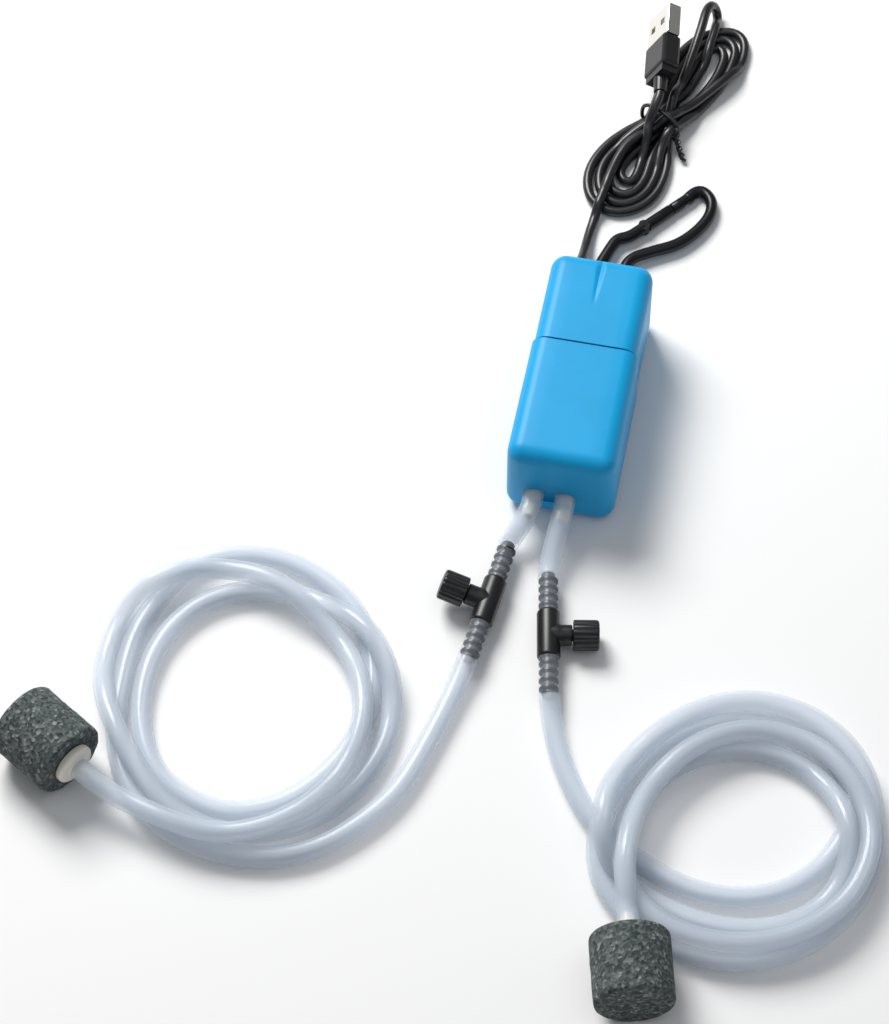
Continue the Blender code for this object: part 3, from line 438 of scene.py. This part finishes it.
# Each coil's distance from its middle, in millimetres, at every twelfth of a turn.
COILS = {
    "left": {
        "middle": (-73.5, -111.5),
        "start": -30,
        "turn": -30,
        "reach": [
            52.3, 53.1, 50.4, 45.8, 38.9, 36.0, 39.6, 46.6, 45.7, 41.1, 37.2, 34.6,
            33.7, 36.5, 38.9, 36.8, 31.9, 30.0, 31.4, 33.7, 35.0, 36.0, 39.1, 41.6,
            42.7, 44.5, 44.6, 40.7, 38.9, 41.6, 44.8, 41.8, 34.9, 31.0, 31.4, 33.9,
            37.8, 43.9, 48.2, 48.5,
        ],
    },
    "right": {
        "middle": (66.0, -126.5),
        "start": 210,
        "turn": 30,
        "reach": [
            30.4, 24.3, 22.4, 22.9, 25.2, 29.7, 35.8, 36.8, 35.7, 34.0, 33.5, 36.1,
            40.2, 41.7, 41.2, 40.8, 39.4, 38.6, 38.5, 39.0, 38.3, 35.2, 34.0, 36.9,
            38.6, 32.8, 31.4, 33.0, 34.0, 32.6, 29.4, 27.5, 26.2, 25.2, 26.6, 29.7,
            36.4, 39.1, 38.8, 38.8, 38.8, 37.2, 34.9, 33.1, 29.3, 26.2, 25.1, 27.3,
            32.9,
        ],
    },
}
LEADS = {
    "left": [
        (-16.9, -96.6, 3.5), (-18.4, -104.0, 3.1), (-20.4, -112.5, 3.0), (-22.6, -121.0, 3.0),
        (-24.6, -129.2, 3.0),
    ],
    "right": [
        (9.9, -103.0, 3.7), (12.1, -109.5, 3.1), (15.2, -116.0, 3.0), (18.8, -121.8, 3.0),
        (22.2, -127.4, 3.0),
        (26.6, -132.2, 3.0), (32.3, -137.2, 3.0),
    ],
}
TAILS = {
    "left": [(-102.3, -152.6, 8.5), (-107.2, -150.4, 10.4)],
    "right": [(38.2, -149.0, 9.0), (40.0, -156.0, 10.4)],
}
SHORT_HOSES = {
    "left": [(-7.2, -35.3, 9.5), (-7.2, -38.5, 9.5), (-7.6, -41.6, 9.2), (-9.1, -46.0, 7.8)],
    "right": [
        (2.0, -35.3, 9.5), (2.0, -38.5, 9.5), (1.9, -42.0, 9.3), (1.6, -47.0, 8.2), (1.3, -52.0, 6.4),
        (1.2, -55.6, 5.2),
    ],
}


def valve_matrix(side):
    """The valve's own frame, in millimetres: X out of the knob, Y along the hose."""
    spec = VALVES[side]
    turn = Matrix.Rotation(math.radians(spec["turn"]), 4, "Z")
    tilt = Matrix.Rotation(math.radians(spec["tilt"]), 4, "Y")
    return Matrix.Translation(Vector(spec["place"])) @ (turn @ tilt)


def hose_side(side):
    """Which way along the valve's Y the coil lies: the left valve is turned the other way round."""
    return 1 if side == "left" else -1


def valve_points(side, towards, distances):
    place = valve_matrix(side)
    return [tuple(place @ Vector((0, towards * hose_side(side) * d, 0))) for d in distances]


def stone_matrix(side):
    """The stone's own frame, in millimetres: X from the cap into the stone."""
    spec = STONES[side]
    return Matrix.Translation(Vector(spec["face"])) @ Matrix.Rotation(math.radians(spec["turn"]), 4, "Z")


def coil_points(side):
    spec = COILS[side]
    made = []
    for index, reach in enumerate(spec["reach"]):
        angle = math.radians(spec["start"] + spec["turn"] * index)
        middle = spec["middle"]
        made.append((middle[0] + reach * math.cos(angle), middle[1] + reach * math.sin(angle), HOSE / 2))
    return made


def long_hose_route(side):
    start = valve_points(side, 1, (BARREL + 0.1, 11.0, 15.0, BARREL + BARB))
    cap = stone_matrix(side)
    end = [tuple(cap @ Vector((-d, 0, 0))) for d in (6.4, 2.95)]
    route = smooth_route(start + LEADS[side] + coil_points(side) + TAILS[side] + end, HOSE_SPACING)
    route = settle(route, np.linspace(0, 100, len(route)), HOSE * 1.01, (4, 2), 300, 4, 0.25)
    for column in range(3):
        route[4:-2, column] = eased(route[4:-2, column], 2)
    return route


def clear_over_barbs(hose, side):
    """Stretched over the barbs, the hose's wall is thinner and lets more show through."""
    hose.data.materials.append(STRETCHED_HOSE)
    middle = Vector(VALVES[side]["place"]) * MM
    for face in hose.data.polygons:
        if (face.center - middle).length < (BARREL + BARB) * MM:
            face.material_index = 1


def make_hoses():
    hoses = {}
    for side in SIDES:
        route = long_hose_route(side)
        mesh = tube_mesh(f"hose_{side}", route, (HOSE / 2, HOSE_BORE / 2), 24)
        stretches = [f"hose_{stretch}_{side}" for stretch in ("lead", "coil", "tail")]
        nodes = [name for name in stretches if name in frame["nodes"]]
        hoses[side] = add_piece(f"hose_{side}", mesh, "hose_clear", replaces=nodes)
        clear_over_barbs(hoses[side], side)
        hoses[side, "route"] = (route * MM).tolist()
        ends = valve_points(side, -1, (BARREL + BARB, 14.0, 10.5, BARREL + 0.1))
        short = smooth_route(SHORT_HOSES[side] + ends, 1.5)
        mesh = tube_mesh(f"short_{side}", short, (HOSE / 2, HOSE_BORE / 2), 24)
        outlet = add_piece(f"hose_outlet_{side}", mesh, "hose_clear", replaces=[f"hose_short_{side}"])
        clear_over_barbs(outlet, side)
    return hoses


# --- housing --------------------------------------------------------------------------------------

HOUSING_WALL = 1.6
HOUSING_ROUNDING = 4.5
SEAM_Y = 5.0
SEAM_GAP = 0.12
REAR_Y = 36.0
# Half the width at the closed end and at the seam, and the height.
FRONT_SIZE = (15.7, 15.5, 28.6)
REAR_SIZE = (14.9, 14.9, 29.0)
TOP_STEPS = (0.0, 0.3, 0.6, 0.9, 1.2, 1.5, 1.9, 2.5, 3.6, 5.2, 7.2)


def smoothstep(value, low, high):
    t = min(1.0, max(0.0, (value - low) / (high - low)))
    return t * t * (3 - 2 * t)


def housing_ring(half, low, high, core, radius):
    """A rounded rectangle in x and z, with extra points along the top for its groove."""
    across, under, over = half - core, low + core, high - core
    corners = [(across, under, -90), (across, over, 0), (-across, over, 90), (-across, under, 180)]
    ring = []
    for index, (x, z, start) in enumerate(corners):
        for step in range(9):
            angle = math.radians(start + 90 * step / 8)
            ring.append((x + radius * math.cos(angle), z + radius * math.sin(angle)))
        if index == 1:
            ring += [(x, high - core + radius) for x in [*TOP_STEPS[:0:-1], *(-s for s in TOP_STEPS)]]
    return ring


def housing_half(name, closed_y, seam_y, half_closed, half_seam, high, wall, groove):
    """One half of the housing: an outer skin rounded at its closed end, an inner one, and their rim."""
    shape = bmesh.new()
    way = math.copysign(1.0, seam_y - closed_y)
    rims = []
    for inset in (0.0, wall):
        core = HOUSING_ROUNDING if not inset else 2.6
        first = closed_y + way * inset
        stations = [first + way * core * (1 - math.cos(math.radians(90 * step / 8))) for step in range(9)]
        stations += [stations[-1] + (seam_y - stations[-1]) * step / 24 for step in range(1, 25)]
        rings = []
        for y in stations:
            depth = min(core, abs(y - first))
            radius = math.sqrt(max(0.0, core**2 - (core - depth) ** 2))
            half = half_closed + (half_seam - half_closed) * (y - closed_y) / (seam_y - closed_y) - inset
            ring = []
            for x, z in housing_ring(half, inset, high - inset, core, radius):
                if groove and not inset and z > high - 1:
                    share = smoothstep(y, 18.5, 35.0)
                    lean = (x + 0.25) / (0.7 + 0.7 * share)
                    z -= 0.75 * share**0.6 * max(0.0, 1 - abs(lean)) ** 1.1
                ring.append(shape.verts.new((x * MM, y * MM, z * MM)))
            rings.append(ring)
        count = len(rings[0])
        for low_ring, high_ring in zip(rings, rings[1:]):
            for index in range(count):
                after = (index + 1) % count
                shape.faces.new((low_ring[index], low_ring[after], high_ring[after], high_ring[index]))
        shape.faces.new(rings[0])
        rims.append(rings[-1])
    outer, inner = rims
    for index in range(len(outer)):
        after = (index + 1) % len(outer)
        shape.faces.new((outer[index], outer[after], inner[after], inner[index]))
    bmesh.ops.remove_doubles(shape, verts=shape.verts, dist=1e-7)
    bmesh.ops.dissolve_degenerate(shape, edges=shape.edges, dist=1e-7)
    bmesh.ops.recalc_face_normals(shape, faces=shape.faces)
    mesh = bpy.data.meshes.new(name)
    shape.to_mesh(mesh)
    shape.free()
    return mesh


def rod(radius, start, stop, sides=48):
    """A plain cylinder between two points in millimetres."""
    return tube_mesh(
        "rod", [start, tuple((a + b) / 2 for a, b in zip(start, stop)), stop], (radius,), sides
    )


def block(low, high, rounding=0.0):
    shape = bmesh.new()
    bmesh.ops.create_cube(shape, size=1.0)
    for vert in shape.verts:
        vert.co = Vector([(b if c > 0 else a) * MM for a, b, c in zip(low, high, vert.co)])
    if rounding:
        edges = list(shape.edges)
        bmesh.ops.bevel(shape, geom=edges, offset=rounding * MM, segments=4, profile=0.5, affect="EDGES")
    mesh = bpy.data.meshes.new("block")
    shape.to_mesh(mesh)
    shape.free()
    return mesh


def combined(mesh, steps):
    """The mesh after a run of exact Booleans: each step is an operation and another mesh."""
    base = bpy.data.objects.new("base", mesh)
    bpy.context.scene.collection.objects.link(base)
    others = []
    for operation, other in steps:
        tool = bpy.data.objects.new("tool", other)
        bpy.context.scene.collection.objects.link(tool)
        modifier = base.modifiers.new("cut", "BOOLEAN")
        modifier.operation = operation
        modifier.solver = "EXACT"
        modifier.object = tool
        others.append(tool)
    bpy.context.view_layer.update()
    made = bpy.data.meshes.new_from_object(base.evaluated_get(bpy.context.evaluated_depsgraph_get()))
    for item in [base, *others]:
        bpy.data.objects.remove(item, do_unlink=True)
    return made


def make_housing():
    seam = SEAM_Y - SEAM_GAP
    front = housing_half("front_case", FRONT_Y, seam, *FRONT_SIZE, HOUSING_WALL, False)
    left, right = OUTLET_X["left"], OUTLET_X["right"]
    steps = [("DIFFERENCE", block((left, FRONT_Y - 2, 6.8), (right, RECESS_Y + 0.5, 12.2), 0.5))]
    for x in (left, right):
        outside = (x, FRONT_Y - 2, OUTLET_Z)
        steps.append(("DIFFERENCE", rod(HOSE / 2 + 0.06, outside, (x, RECESS_Y, OUTLET_Z))))
        steps.append(("DIFFERENCE", rod(2.3, outside, (x, FRONT_Y + 4, OUTLET_Z))))
    add_piece(
        "front_case", combined(front, steps), "housing_blue", smooth_angle=32, replaces=["front_shell"]
    )
    seam = SEAM_Y + SEAM_GAP
    rear = housing_half("rear_case", REAR_Y, seam, *REAR_SIZE, HOUSING_WALL, True)
    steps = [
        ("DIFFERENCE", rod(2.3, (CABLE_EXIT[0], 33, 7), (CABLE_EXIT[0], 38, 7))),
        ("UNION", block((-2.0, 33.8, 0.4), (1.0, 42.0, 6.3), 0.7)),
        ("DIFFERENCE", rod(2.1, (-4.0, 39.2, 3.3), (3.0, 39.2, 3.3))),
    ]
    add_piece("rear_case", combined(rear, steps), "housing_blue", smooth_angle=32, replaces=["rear_cover"])


# --- valves ---------------------------------------------------------------------------------------


def joined(name, *meshes):
    shape = bmesh.new()
    for mesh in meshes:
        shape.from_mesh(mesh)
    made = bpy.data.meshes.new(name)
    shape.to_mesh(made)
    shape.free()
    return made


def barb_profile(start, way):
    """Four sharp rings on a thin tube, from the valve's shoulder outwards."""
    points = [(1.95, start)]
    for ring in range(4):
        at = start + way * (1.4 + ring * 2.7)
        points += [(1.95, at), (2.78, at + way * 0.25), (2.78, at + way * 0.8), (2.0, at + way * 1.5)]
    end = start + way * BARB
    return points + [(1.95, end - way * 0.4), (1.65, end), (1.05, end), (1.05, end - way * 3)]


KNOB_RADIUS = 4.38
FLUTES = 15
FLUTE_DEPTH = 0.085


def make_valve(side):
    place = valve_matrix(side)
    metre = Matrix.Diagonal((MM, MM, MM, 1))
    scene_place = metre @ place @ metre.inverted()
    upright = Matrix.Rotation(math.radians(-90), 4, "X")
    sideways = Matrix.Rotation(math.radians(90), 4, "Y")
    barrel = [
        (0, -BARREL + 1), (2.5, -BARREL + 1), (2.5, -BARREL), (2.95, -BARREL), (3.3, -BARREL + 0.5),
        (3.3, BARREL - 0.5),
    ]
    barrel += [(2.95, BARREL), (2.5, BARREL), (2.5, BARREL - 1), (0, BARREL - 1)]
    barrel = rounded(barrel, (0, 0, 0.1, 0.3, 0.5, 0.5, 0.3, 0.1, 0, 0), 3)
    meshes = [turned_mesh("barrel", barrel, 48, upright)]
    for way in (-1, 1):
        profile = [(0, way * (BARREL - 1)), (1.95, way * (BARREL - 1))] + barb_profile(way * BARREL, way)
        profile += [(0, way * (BARREL + BARB - 3))]
        meshes.append(turned_mesh("barb", profile, 40, upright))
    branch = [
        (0, 0.5), (3.25, 0.5), (3.2, 2.6), (3.0, 3.8), (3.0, 6.4), (2.8, 6.6), (2.3, 6.6), (2.3, 5.0),
        (0, 5.0),
    ]
    branch = rounded(branch, (0, 0, 0.8, 0.8, 0.15, 0.15, 0, 0, 0), 3)
    meshes.append(turned_mesh("branch", branch, 40, sideways))
    body = joined(f"valve_{side}", *meshes)
    body.transform(scene_place)
    add_piece(f"valve_{side}", body, "black_plastic", smooth_angle=35, replaces=[f"valve_body_{side}"])
    around = FLUTES * 12
    outline = [
        (6.9, 0.94), (7.05, 0.985), (7.3, 1.0), (13.1, 1.0), (13.6, 0.985), (13.9, 0.95), (14.1, 0.89),
        (14.2, 0.80),
    ]
    shape = bmesh.new()
    rings = []
    for x, share in outline:
        ring = []
        for index in range(around):
            angle = math.tau * index / around
            valley = 0.5 + 0.5 * math.cos(FLUTES * angle)
            fluted = smoothstep(x, 6.9, 7.6) * (1 - smoothstep(x, 13.4, 14.2))
            radius = KNOB_RADIUS * share * (1 - FLUTE_DEPTH * valley**2 * fluted)
            point = (x, radius * math.cos(angle), radius * math.sin(angle))
            ring.append(shape.verts.new([value * MM for value in point]))
        rings.append(ring)
    for low, high in zip(rings, rings[1:]):
        for index in range(around):
            after = (index + 1) % around
            shape.faces.new((low[index], low[after], high[after], high[index]))
    shape.faces.new(rings[0])
    shape.faces.new(rings[-1])
    bmesh.ops.recalc_face_normals(shape, faces=shape.faces)
    grip = bpy.data.meshes.new("grip")
    shape.to_mesh(grip)
    shape.free()
    stem = [
        (0, 1.6), (0.5, 1.6), (1.2, 2.6), (1.2, 3.6), (1.7, 3.6), (1.7, 4.0), (1.2, 4.0), (1.2, 5.0),
        (1.7, 5.0), (1.7, 7.2), (0, 7.2),
    ]
    knob = joined(f"knob_{side}", grip, turned_mesh("stem", stem, 32, sideways))
    knob.transform(scene_place)
    add_piece(
        f"knob_{side}", knob, "black_plastic", f"needle_knob_{side}", 50, replaces=[f"valve_knob_{side}"]
    )


# --- hook -----------------------------------------------------------------------------------------

HOOK_LOOP = [
    (7.2, 67.2), (3.4, 62.9), (0.2, 61.2), (-1.4, 57.0), (-3.0, 51.5), (-4.3, 46.0), (-4.3, 41.7),
    (-2.2, 39.4),
    (0.8, 39.2), (3.6, 40.6), (4.9, 44.6), (4.1, 50.0), (5.6, 54.8), (11.0, 58.7), (17.8, 62.9),
    (22.7, 68.8),
    (25.6, 75.4), (25.2, 81.0), (21.8, 84.2),
    (19.4, 82.6),
]
HOOK_NOSE = (18.2, 80.5)
HOOK_RADIUS = 1.75
EYELET = (-0.5, 39.2, 3.3)
HOOK_FALL = math.tan(math.radians(1.9))


def hook_height(y):
    return EYELET[2] - (y - EYELET[1]) * HOOK_FALL


def lapped(name, start, stop, shoulder, way):
    """A straight bar whose far end, past the shoulder, is cut to half its thickness for a lap joint."""
    start, stop = np.array(start, float), np.array(stop, float)
    length = np.linalg.norm(stop - start)
    at = [
        0,
        shoulder * 0.5,
        shoulder - 0.15,
        shoulder,
        shoulder + 0.02,
        (shoulder + length) / 2,
        length - 0.3,
        length,
    ]
    points = np.array([start + (stop - start) * a / length for a in at])
    radii = np.array([1, 1, 1, 0.94, 0.94, 0.94, 0.94, 0.8]) * HOOK_RADIUS
    mesh = tube_mesh(name, points, (radii,), 32)
    side = 32
    for index, vert in enumerate(mesh.vertices):
        ring = index // side
        if ring >= 4:
            middle = points[ring][2] * MM
            vert.co.z = middle + way * max(0.0, way * (vert.co.z - middle)) + way * 0.00005
    return mesh


def make_hook():
    hinge = np.array([*HOOK_LOOP[0], hook_height(HOOK_LOOP[0][1])])
    nose = np.array([*HOOK_NOSE, hook_height(HOOK_NOSE[1])])
    route = smooth_route([(x, y, hook_height(y)) for x, y in [*HOOK_LOOP, HOOK_NOSE]], 0.9)
    for column in range(3):
        route[:, column] = eased(route[:, column], 2)
    along = (nose - hinge) / np.linalg.norm(nose - hinge)
    span = np.linalg.norm(nose - hinge)
    tongue = lapped("nose", nose + along * 1.0, hinge + along * 10.9, 1.4, 1)
    loop = joined("hook_loop", tube_mesh("bar", route, (HOOK_RADIUS,), 32), tongue)
    add_piece("hook_loop", loop, "anodised_black", "hook", replaces=["hook_bar"])
    gate = lapped("gate", hinge + along * 1.15, hinge + along * (span - 1.7), 9.35, -1)
    knuckle = rod(HOOK_RADIUS * 0.98, tuple(hinge - (0, 0, 1.6)), tuple(hinge + (0, 0, 1.6)), 32)
    latch = joined("latch", gate, knuckle)
    add_piece("hook_latch", latch, "anodised_black", "hook_gate", replaces=["hook_gate"])


# --- air stones -----------------------------------------------------------------------------------


def make_stone(side):
    r, length = STONE_RADIUS, STONE_LENGTH
    profile = rounded(
        [(0, 4), (4.8, 4), (4.8, 0), (r, 0), (r, length), (0, length)], (0, 0, 0.3, 1.1, 1.3, 0), 5
    )
    dense = smooth_corners(profile, 0.45)
    turn = Matrix.Rotation(math.radians(90), 4, "Y")
    mesh = turned_mesh(f"stone_{side}", dense, 150, turn)
    place = stone_matrix(side)
    for vert in mesh.vertices:
        local = Vector(vert.co) / MM
        outward = vert.normal
        rough = noise.noise(local * 1.9 + Vector((7.0, 3.0, 1.0))) * 0.16 + noise.noise(local * 0.35) * 0.22
        vert.co = place @ (local + outward * rough) * MM
    stone = add_piece(f"stone_{side}", mesh, "air_stone", smooth_angle=60, replaces=[f"air_stone_{side}"])
    outline = [
        (0, 3.6), (4.6, 3.6), (4.6, -0.3), (6.0, -0.3), (6.0, -1.8), (5.3, -2.3), (3.2, -2.3), (2.9, -2.9),
        (2.0, -2.9),
        (2.2, -4.4), (1.8, -6.4), (1.1, -6.4), (1.1, 2.0), (0, 2.0),
    ]
    cap_profile = rounded(outline, (0, 0, 0, 0.2, 0.5, 0.5, 0.3, 0.2, 0.1, 0.5, 0.2, 0.2, 0, 0), 3)
    axis = Matrix.Diagonal((MM, MM, MM, 1)) @ place @ Matrix.Diagonal((1 / MM, 1 / MM, 1 / MM, 1)) @ turn
    cap_mesh = turned_mesh(f"cap_{side}", cap_profile, 64, axis)
    cap = add_piece(f"cap_{side}", cap_mesh, "cap_cream", replaces=[f"stone_cap_{side}"])
    return stone, cap


def smooth_corners(profile, spacing):
    """Extra points along a profile's straight stretches."""
    made = [profile[0]]
    for start, stop in zip(profile, profile[1:]):
        length = math.dist(start, stop)
        count = max(1, round(length / spacing))
        for step in range(1, count + 1):
            t = step / count
            made.append((start[0] + (stop[0] - start[0]) * t, start[1] + (stop[1] - start[1]) * t))
    return made


# --- USB cable ------------------------------------------------------------------------------------

TIE = (5.9, 105.6)
# The strands lie in four rows across the bundle where the tie holds it.
TIE_ROWS = [(1.9, 107.4), (4.5, 106.2), (7.3, 105.0), (9.9, 103.8)]
LIE = CABLE / 2
# The cable's stretches in order from the pump, each with its rank in the pile: the lead first, then the hank's
# lobes, turn and turn about on the far side of the tie and on the near side.
CABLE_STRETCHES = [
    (90, [
        (-8.8, 47.0, 6.6), (-8.7, 51.0, 4.8), (-8.6, 56.0, 2.6), (-8.5, 63.1, LIE), (-7.7, 70.5, LIE),
        (-6.8, 76.8, LIE),
        (-6.0, 83.6, LIE), (-4.8, 90.4, LIE), (-2.4, 96.5, LIE), (1.7, 101.5, LIE), (5.4, 104.1, LIE),
    ]),
    (50, [
        (9.1, 107.2, LIE), (14.3, 114.4, LIE), (19.5, 121.5, LIE), (23.7, 128.8, LIE), (26.0, 136.4, LIE),
        (26.2, 141.6, LIE),
        (24.3, 145.3, LIE), (20.9, 146.4, LIE), (16.9, 145.0, LIE), (12.0, 141.3, LIE), (7.5, 135.6, LIE),
        (4.6, 127.7, LIE),
        (3.3, 118.7, LIE), (2.4, 111.5, LIE),
    ]),
    (20, [
        (*TIE_ROWS[0], LIE), (-3.6, 102.8, LIE), (-9.0, 95.9, LIE), (-12.2, 88.7, LIE), (-12.8, 82.1, LIE),
        (-11.0, 75.9, LIE),
        (-7.5, 72.3, LIE), (-2.9, 71.2, LIE), (1.8, 73.0, LIE), (5.8, 76.6, LIE), (8.4, 81.6, LIE),
        (9.6, 88.4, LIE),
        (9.2, 95.6, LIE), (8.3, 100.8, LIE),
    ]),
    (60, [
        (*TIE_ROWS[2], LIE), (7.6, 111.0, LIE), (9.2, 119.1, 4.0), (10.8, 130.2, 6.0), (12.2, 141.5, 7.6),
        (12.3, 147.6, 7.6),
        (13.3, 151.6, 6.6), (14.7, 153.0, 4.6), (16.0, 151.6, 2.2), (16.3, 147.6, LIE), (15.9, 141.1, LIE),
        (14.3, 131.3, LIE),
        (11.4, 121.9, LIE), (7.6, 112.5, LIE),
    ]),
    (40, [
        (*TIE_ROWS[1], LIE), (-0.1, 100.4, LIE), (-5.0, 94.8, LIE), (-8.7, 89.3, LIE), (-9.4, 82.9, LIE),
        (-7.9, 77.7, LIE),
        (-4.6, 75.0, LIE), (-0.7, 74.4, LIE), (3.1, 76.2, LIE), (6.0, 80.1, LIE), (7.2, 86.9, LIE),
        (7.0, 94.7, LIE),
        (7.8, 100.0, LIE),
    ]),
    (32, [
        (*TIE_ROWS[3], LIE), (12.3, 109.4, LIE), (15.5, 115.6, LIE), (20.0, 123.3, LIE), (23.1, 130.4, LIE),
        (24.0, 136.7, LIE), (22.8, 141.3, LIE), (19.8, 143.4, LIE), (16.2, 142.6, LIE), (12.4, 138.9, LIE),
        (9.1, 132.4, LIE),
        (7.2, 124.9, LIE), (6.0, 116.2, LIE), (5.3, 110.6, LIE),
    ]),
    (25, [
        (*TIE_ROWS[1], LIE), (0.8, 99.6, LIE), (-3.4, 94.6, LIE), (-6.2, 89.0, LIE), (-6.8, 83.6, LIE),
        (-5.6, 79.8, LIE),
        (-2.6, 77.8, LIE), (0.6, 78.2, LIE), (3.2, 80.6, LIE), (4.7, 85.0, LIE), (5.0, 91.0, LIE),
        (5.2, 96.4, LIE), (6.6, 100.4, LIE),
    ]),
    (14, [
        (*TIE_ROWS[3], LIE), (12.6, 110.2, LIE), (15.7, 116.8, LIE), (18.8, 124.1, LIE), (20.5, 131.3, LIE),
        (20.6, 136.6, LIE), (19.0, 139.8, LIE), (16.4, 139.9, LIE), (13.9, 136.6, LIE), (12.0, 129.6, LIE),
        (9.9, 121.0, LIE),
        (8.1, 112.6, LIE),
    ]),
    (10, [
        (*TIE_ROWS[2], LIE), (3.2, 100.4, LIE), (-1.0, 96.2, LIE), (-3.4, 91.4, LIE), (-3.9, 86.6, LIE),
        (-2.6, 83.2, LIE),
        (-0.2, 82.2, LIE), (1.8, 84.2, LIE), (2.6, 88.6, LIE), (2.6, 94.0, LIE), (2.3, 98.6, LIE),
    ]),
    (100, [(2.4, 102.6, 7.6), (3.4, 105.6, 10.2), (4.1, 108.2, 11.4), (4.2, 110.8, 11.8)]),
]


def cable_route():
    """The cable from the strain relief to the plug."""
    route = [(*CABLE_EXIT, 90)]
    for rank, points in CABLE_STRETCHES:
        route += [(*point, rank) for point in points]
    made = smooth_route(route, 1.0)
    return smooth_route(settle(made[:, :3], np.round(made[:, 3]), CABLE * 1.01, (2, 2), 330, 2, 0.3), 1.5)


def make_cable():
    route = cable_route()
    mesh = tube_mesh("usb_cable", route, (CABLE / 2,), 16)
    cable = add_piece("usb_cable", mesh, "cable_black", replaces=["cable_lead", "cable_hank", "cable_tail"])
    return cable, route


def make_tie(route):
    """A wire tie drawn round the bundle at its waist, its two ends twisted together."""
    centre = np.array(TIE) + (0.5, -1.0)
    across = np.array((0.86, -0.5))
    along = np.array((0.5, 0.86))
    offset = route[:, :2] - centre
    before_tail = np.arange(len(route)) < len(route) - 12
    near = (np.abs(offset @ along) < 1.6) & (np.abs(offset @ across) < 9) & before_tail
    reach = (offset @ across)[near]
    low, high = reach.min() - CABLE / 2 - 0.6, reach.max() + CABLE / 2 + 0.6
    top = route[near, 2].max() + CABLE / 2 + 0.5
    loop = []
    for step in range(28):
        angle = math.tau * step / 28
        x = (low + high) / 2 + (high - low) / 2 * math.copysign(
            abs(math.cos(angle)) ** 0.7, math.cos(angle)
        )
        z = top / 2 + 0.3 + (top / 2 - 0.3) * math.copysign(abs(math.sin(angle)) ** 0.7, math.sin(angle))
        skew = 0.9 * math.sin(angle)
        loop.append((*(centre + across * x + along * skew), z))
    wire = 0.6
    mesh = tube_mesh("wire_tie", smooth_route(loop, 0.8, True), (wire,), 10, True)
    tie = add_piece("wire_tie", mesh, "cable_black", replaces=["cable_tie"])
    start = centre + across * (high - 1.0)
    ends = []
    for phase in (0.0, math.pi):
        strand = []
        for step in range(33):
            t = step / 32
            spin = phase + t * 5 * math.pi
            lift = top * 0.62 * (1 - t) ** 1.3 + 1.6
            middle = Vector((start[0] + 2.6 * t + 1.2 * t * t, start[1] - 7.4 * t, lift))
            middle += Vector((math.cos(spin) * 0.55, 0.15 * math.sin(spin), math.sin(spin) * 0.55))
            strand.append(tuple(middle))
        mesh = tube_mesh("tie_end", smooth_route(strand, 0.6), (wire * 0.85,), 8)
        ends.append(add_piece(f"tie_end_{len(ends) + 1}", mesh, "cable_black"))
    return [tie, *ends]


# --- everything -----------------------------------------------------------------------------------


def make_stage():
    shape = bmesh.new()
    bmesh.ops.create_grid(shape, x_segments=1, y_segments=1, size=3.0)
    mesh = bpy.data.meshes.new("floor")
    shape.to_mesh(mesh)
    shape.free()
    finish = principled("floor", (0.93, 0.93, 0.93), 0.9)
    mesh.materials.append(finish)
    floor = bpy.data.objects.new("floor", mesh)
    bpy.context.scene.collection.objects.link(floor)
    world = bpy.data.worlds.new("studio")
    bpy.context.scene.world = world
    world.use_nodes = True
    world.node_tree.nodes["Background"].inputs["Color"].default_value = (0.93, 0.96, 1.0, 1.0)
    world.node_tree.nodes["Background"].inputs["Strength"].default_value = 0.24
    make_light("key", (-0.60, 0.60, 0.95), (-0.03, -0.04, 0), (0.6, 0.6), 19, (1.0, 0.99, 0.97))
    make_light("fill", (0.3, -0.2, 1.2), (-0.03, -0.06, 0), (0.9, 0.9), 1.5, (0.93, 0.96, 1.0))


paint_cad_nodes()
make_housing()
for side in SIDES:
    make_valve(side)
make_hook()
hoses = make_hoses()
stones = {side: make_stone(side) for side in SIDES}
cable, cable_points = make_cable()
ties = make_tie(cable_points)
make_stage()
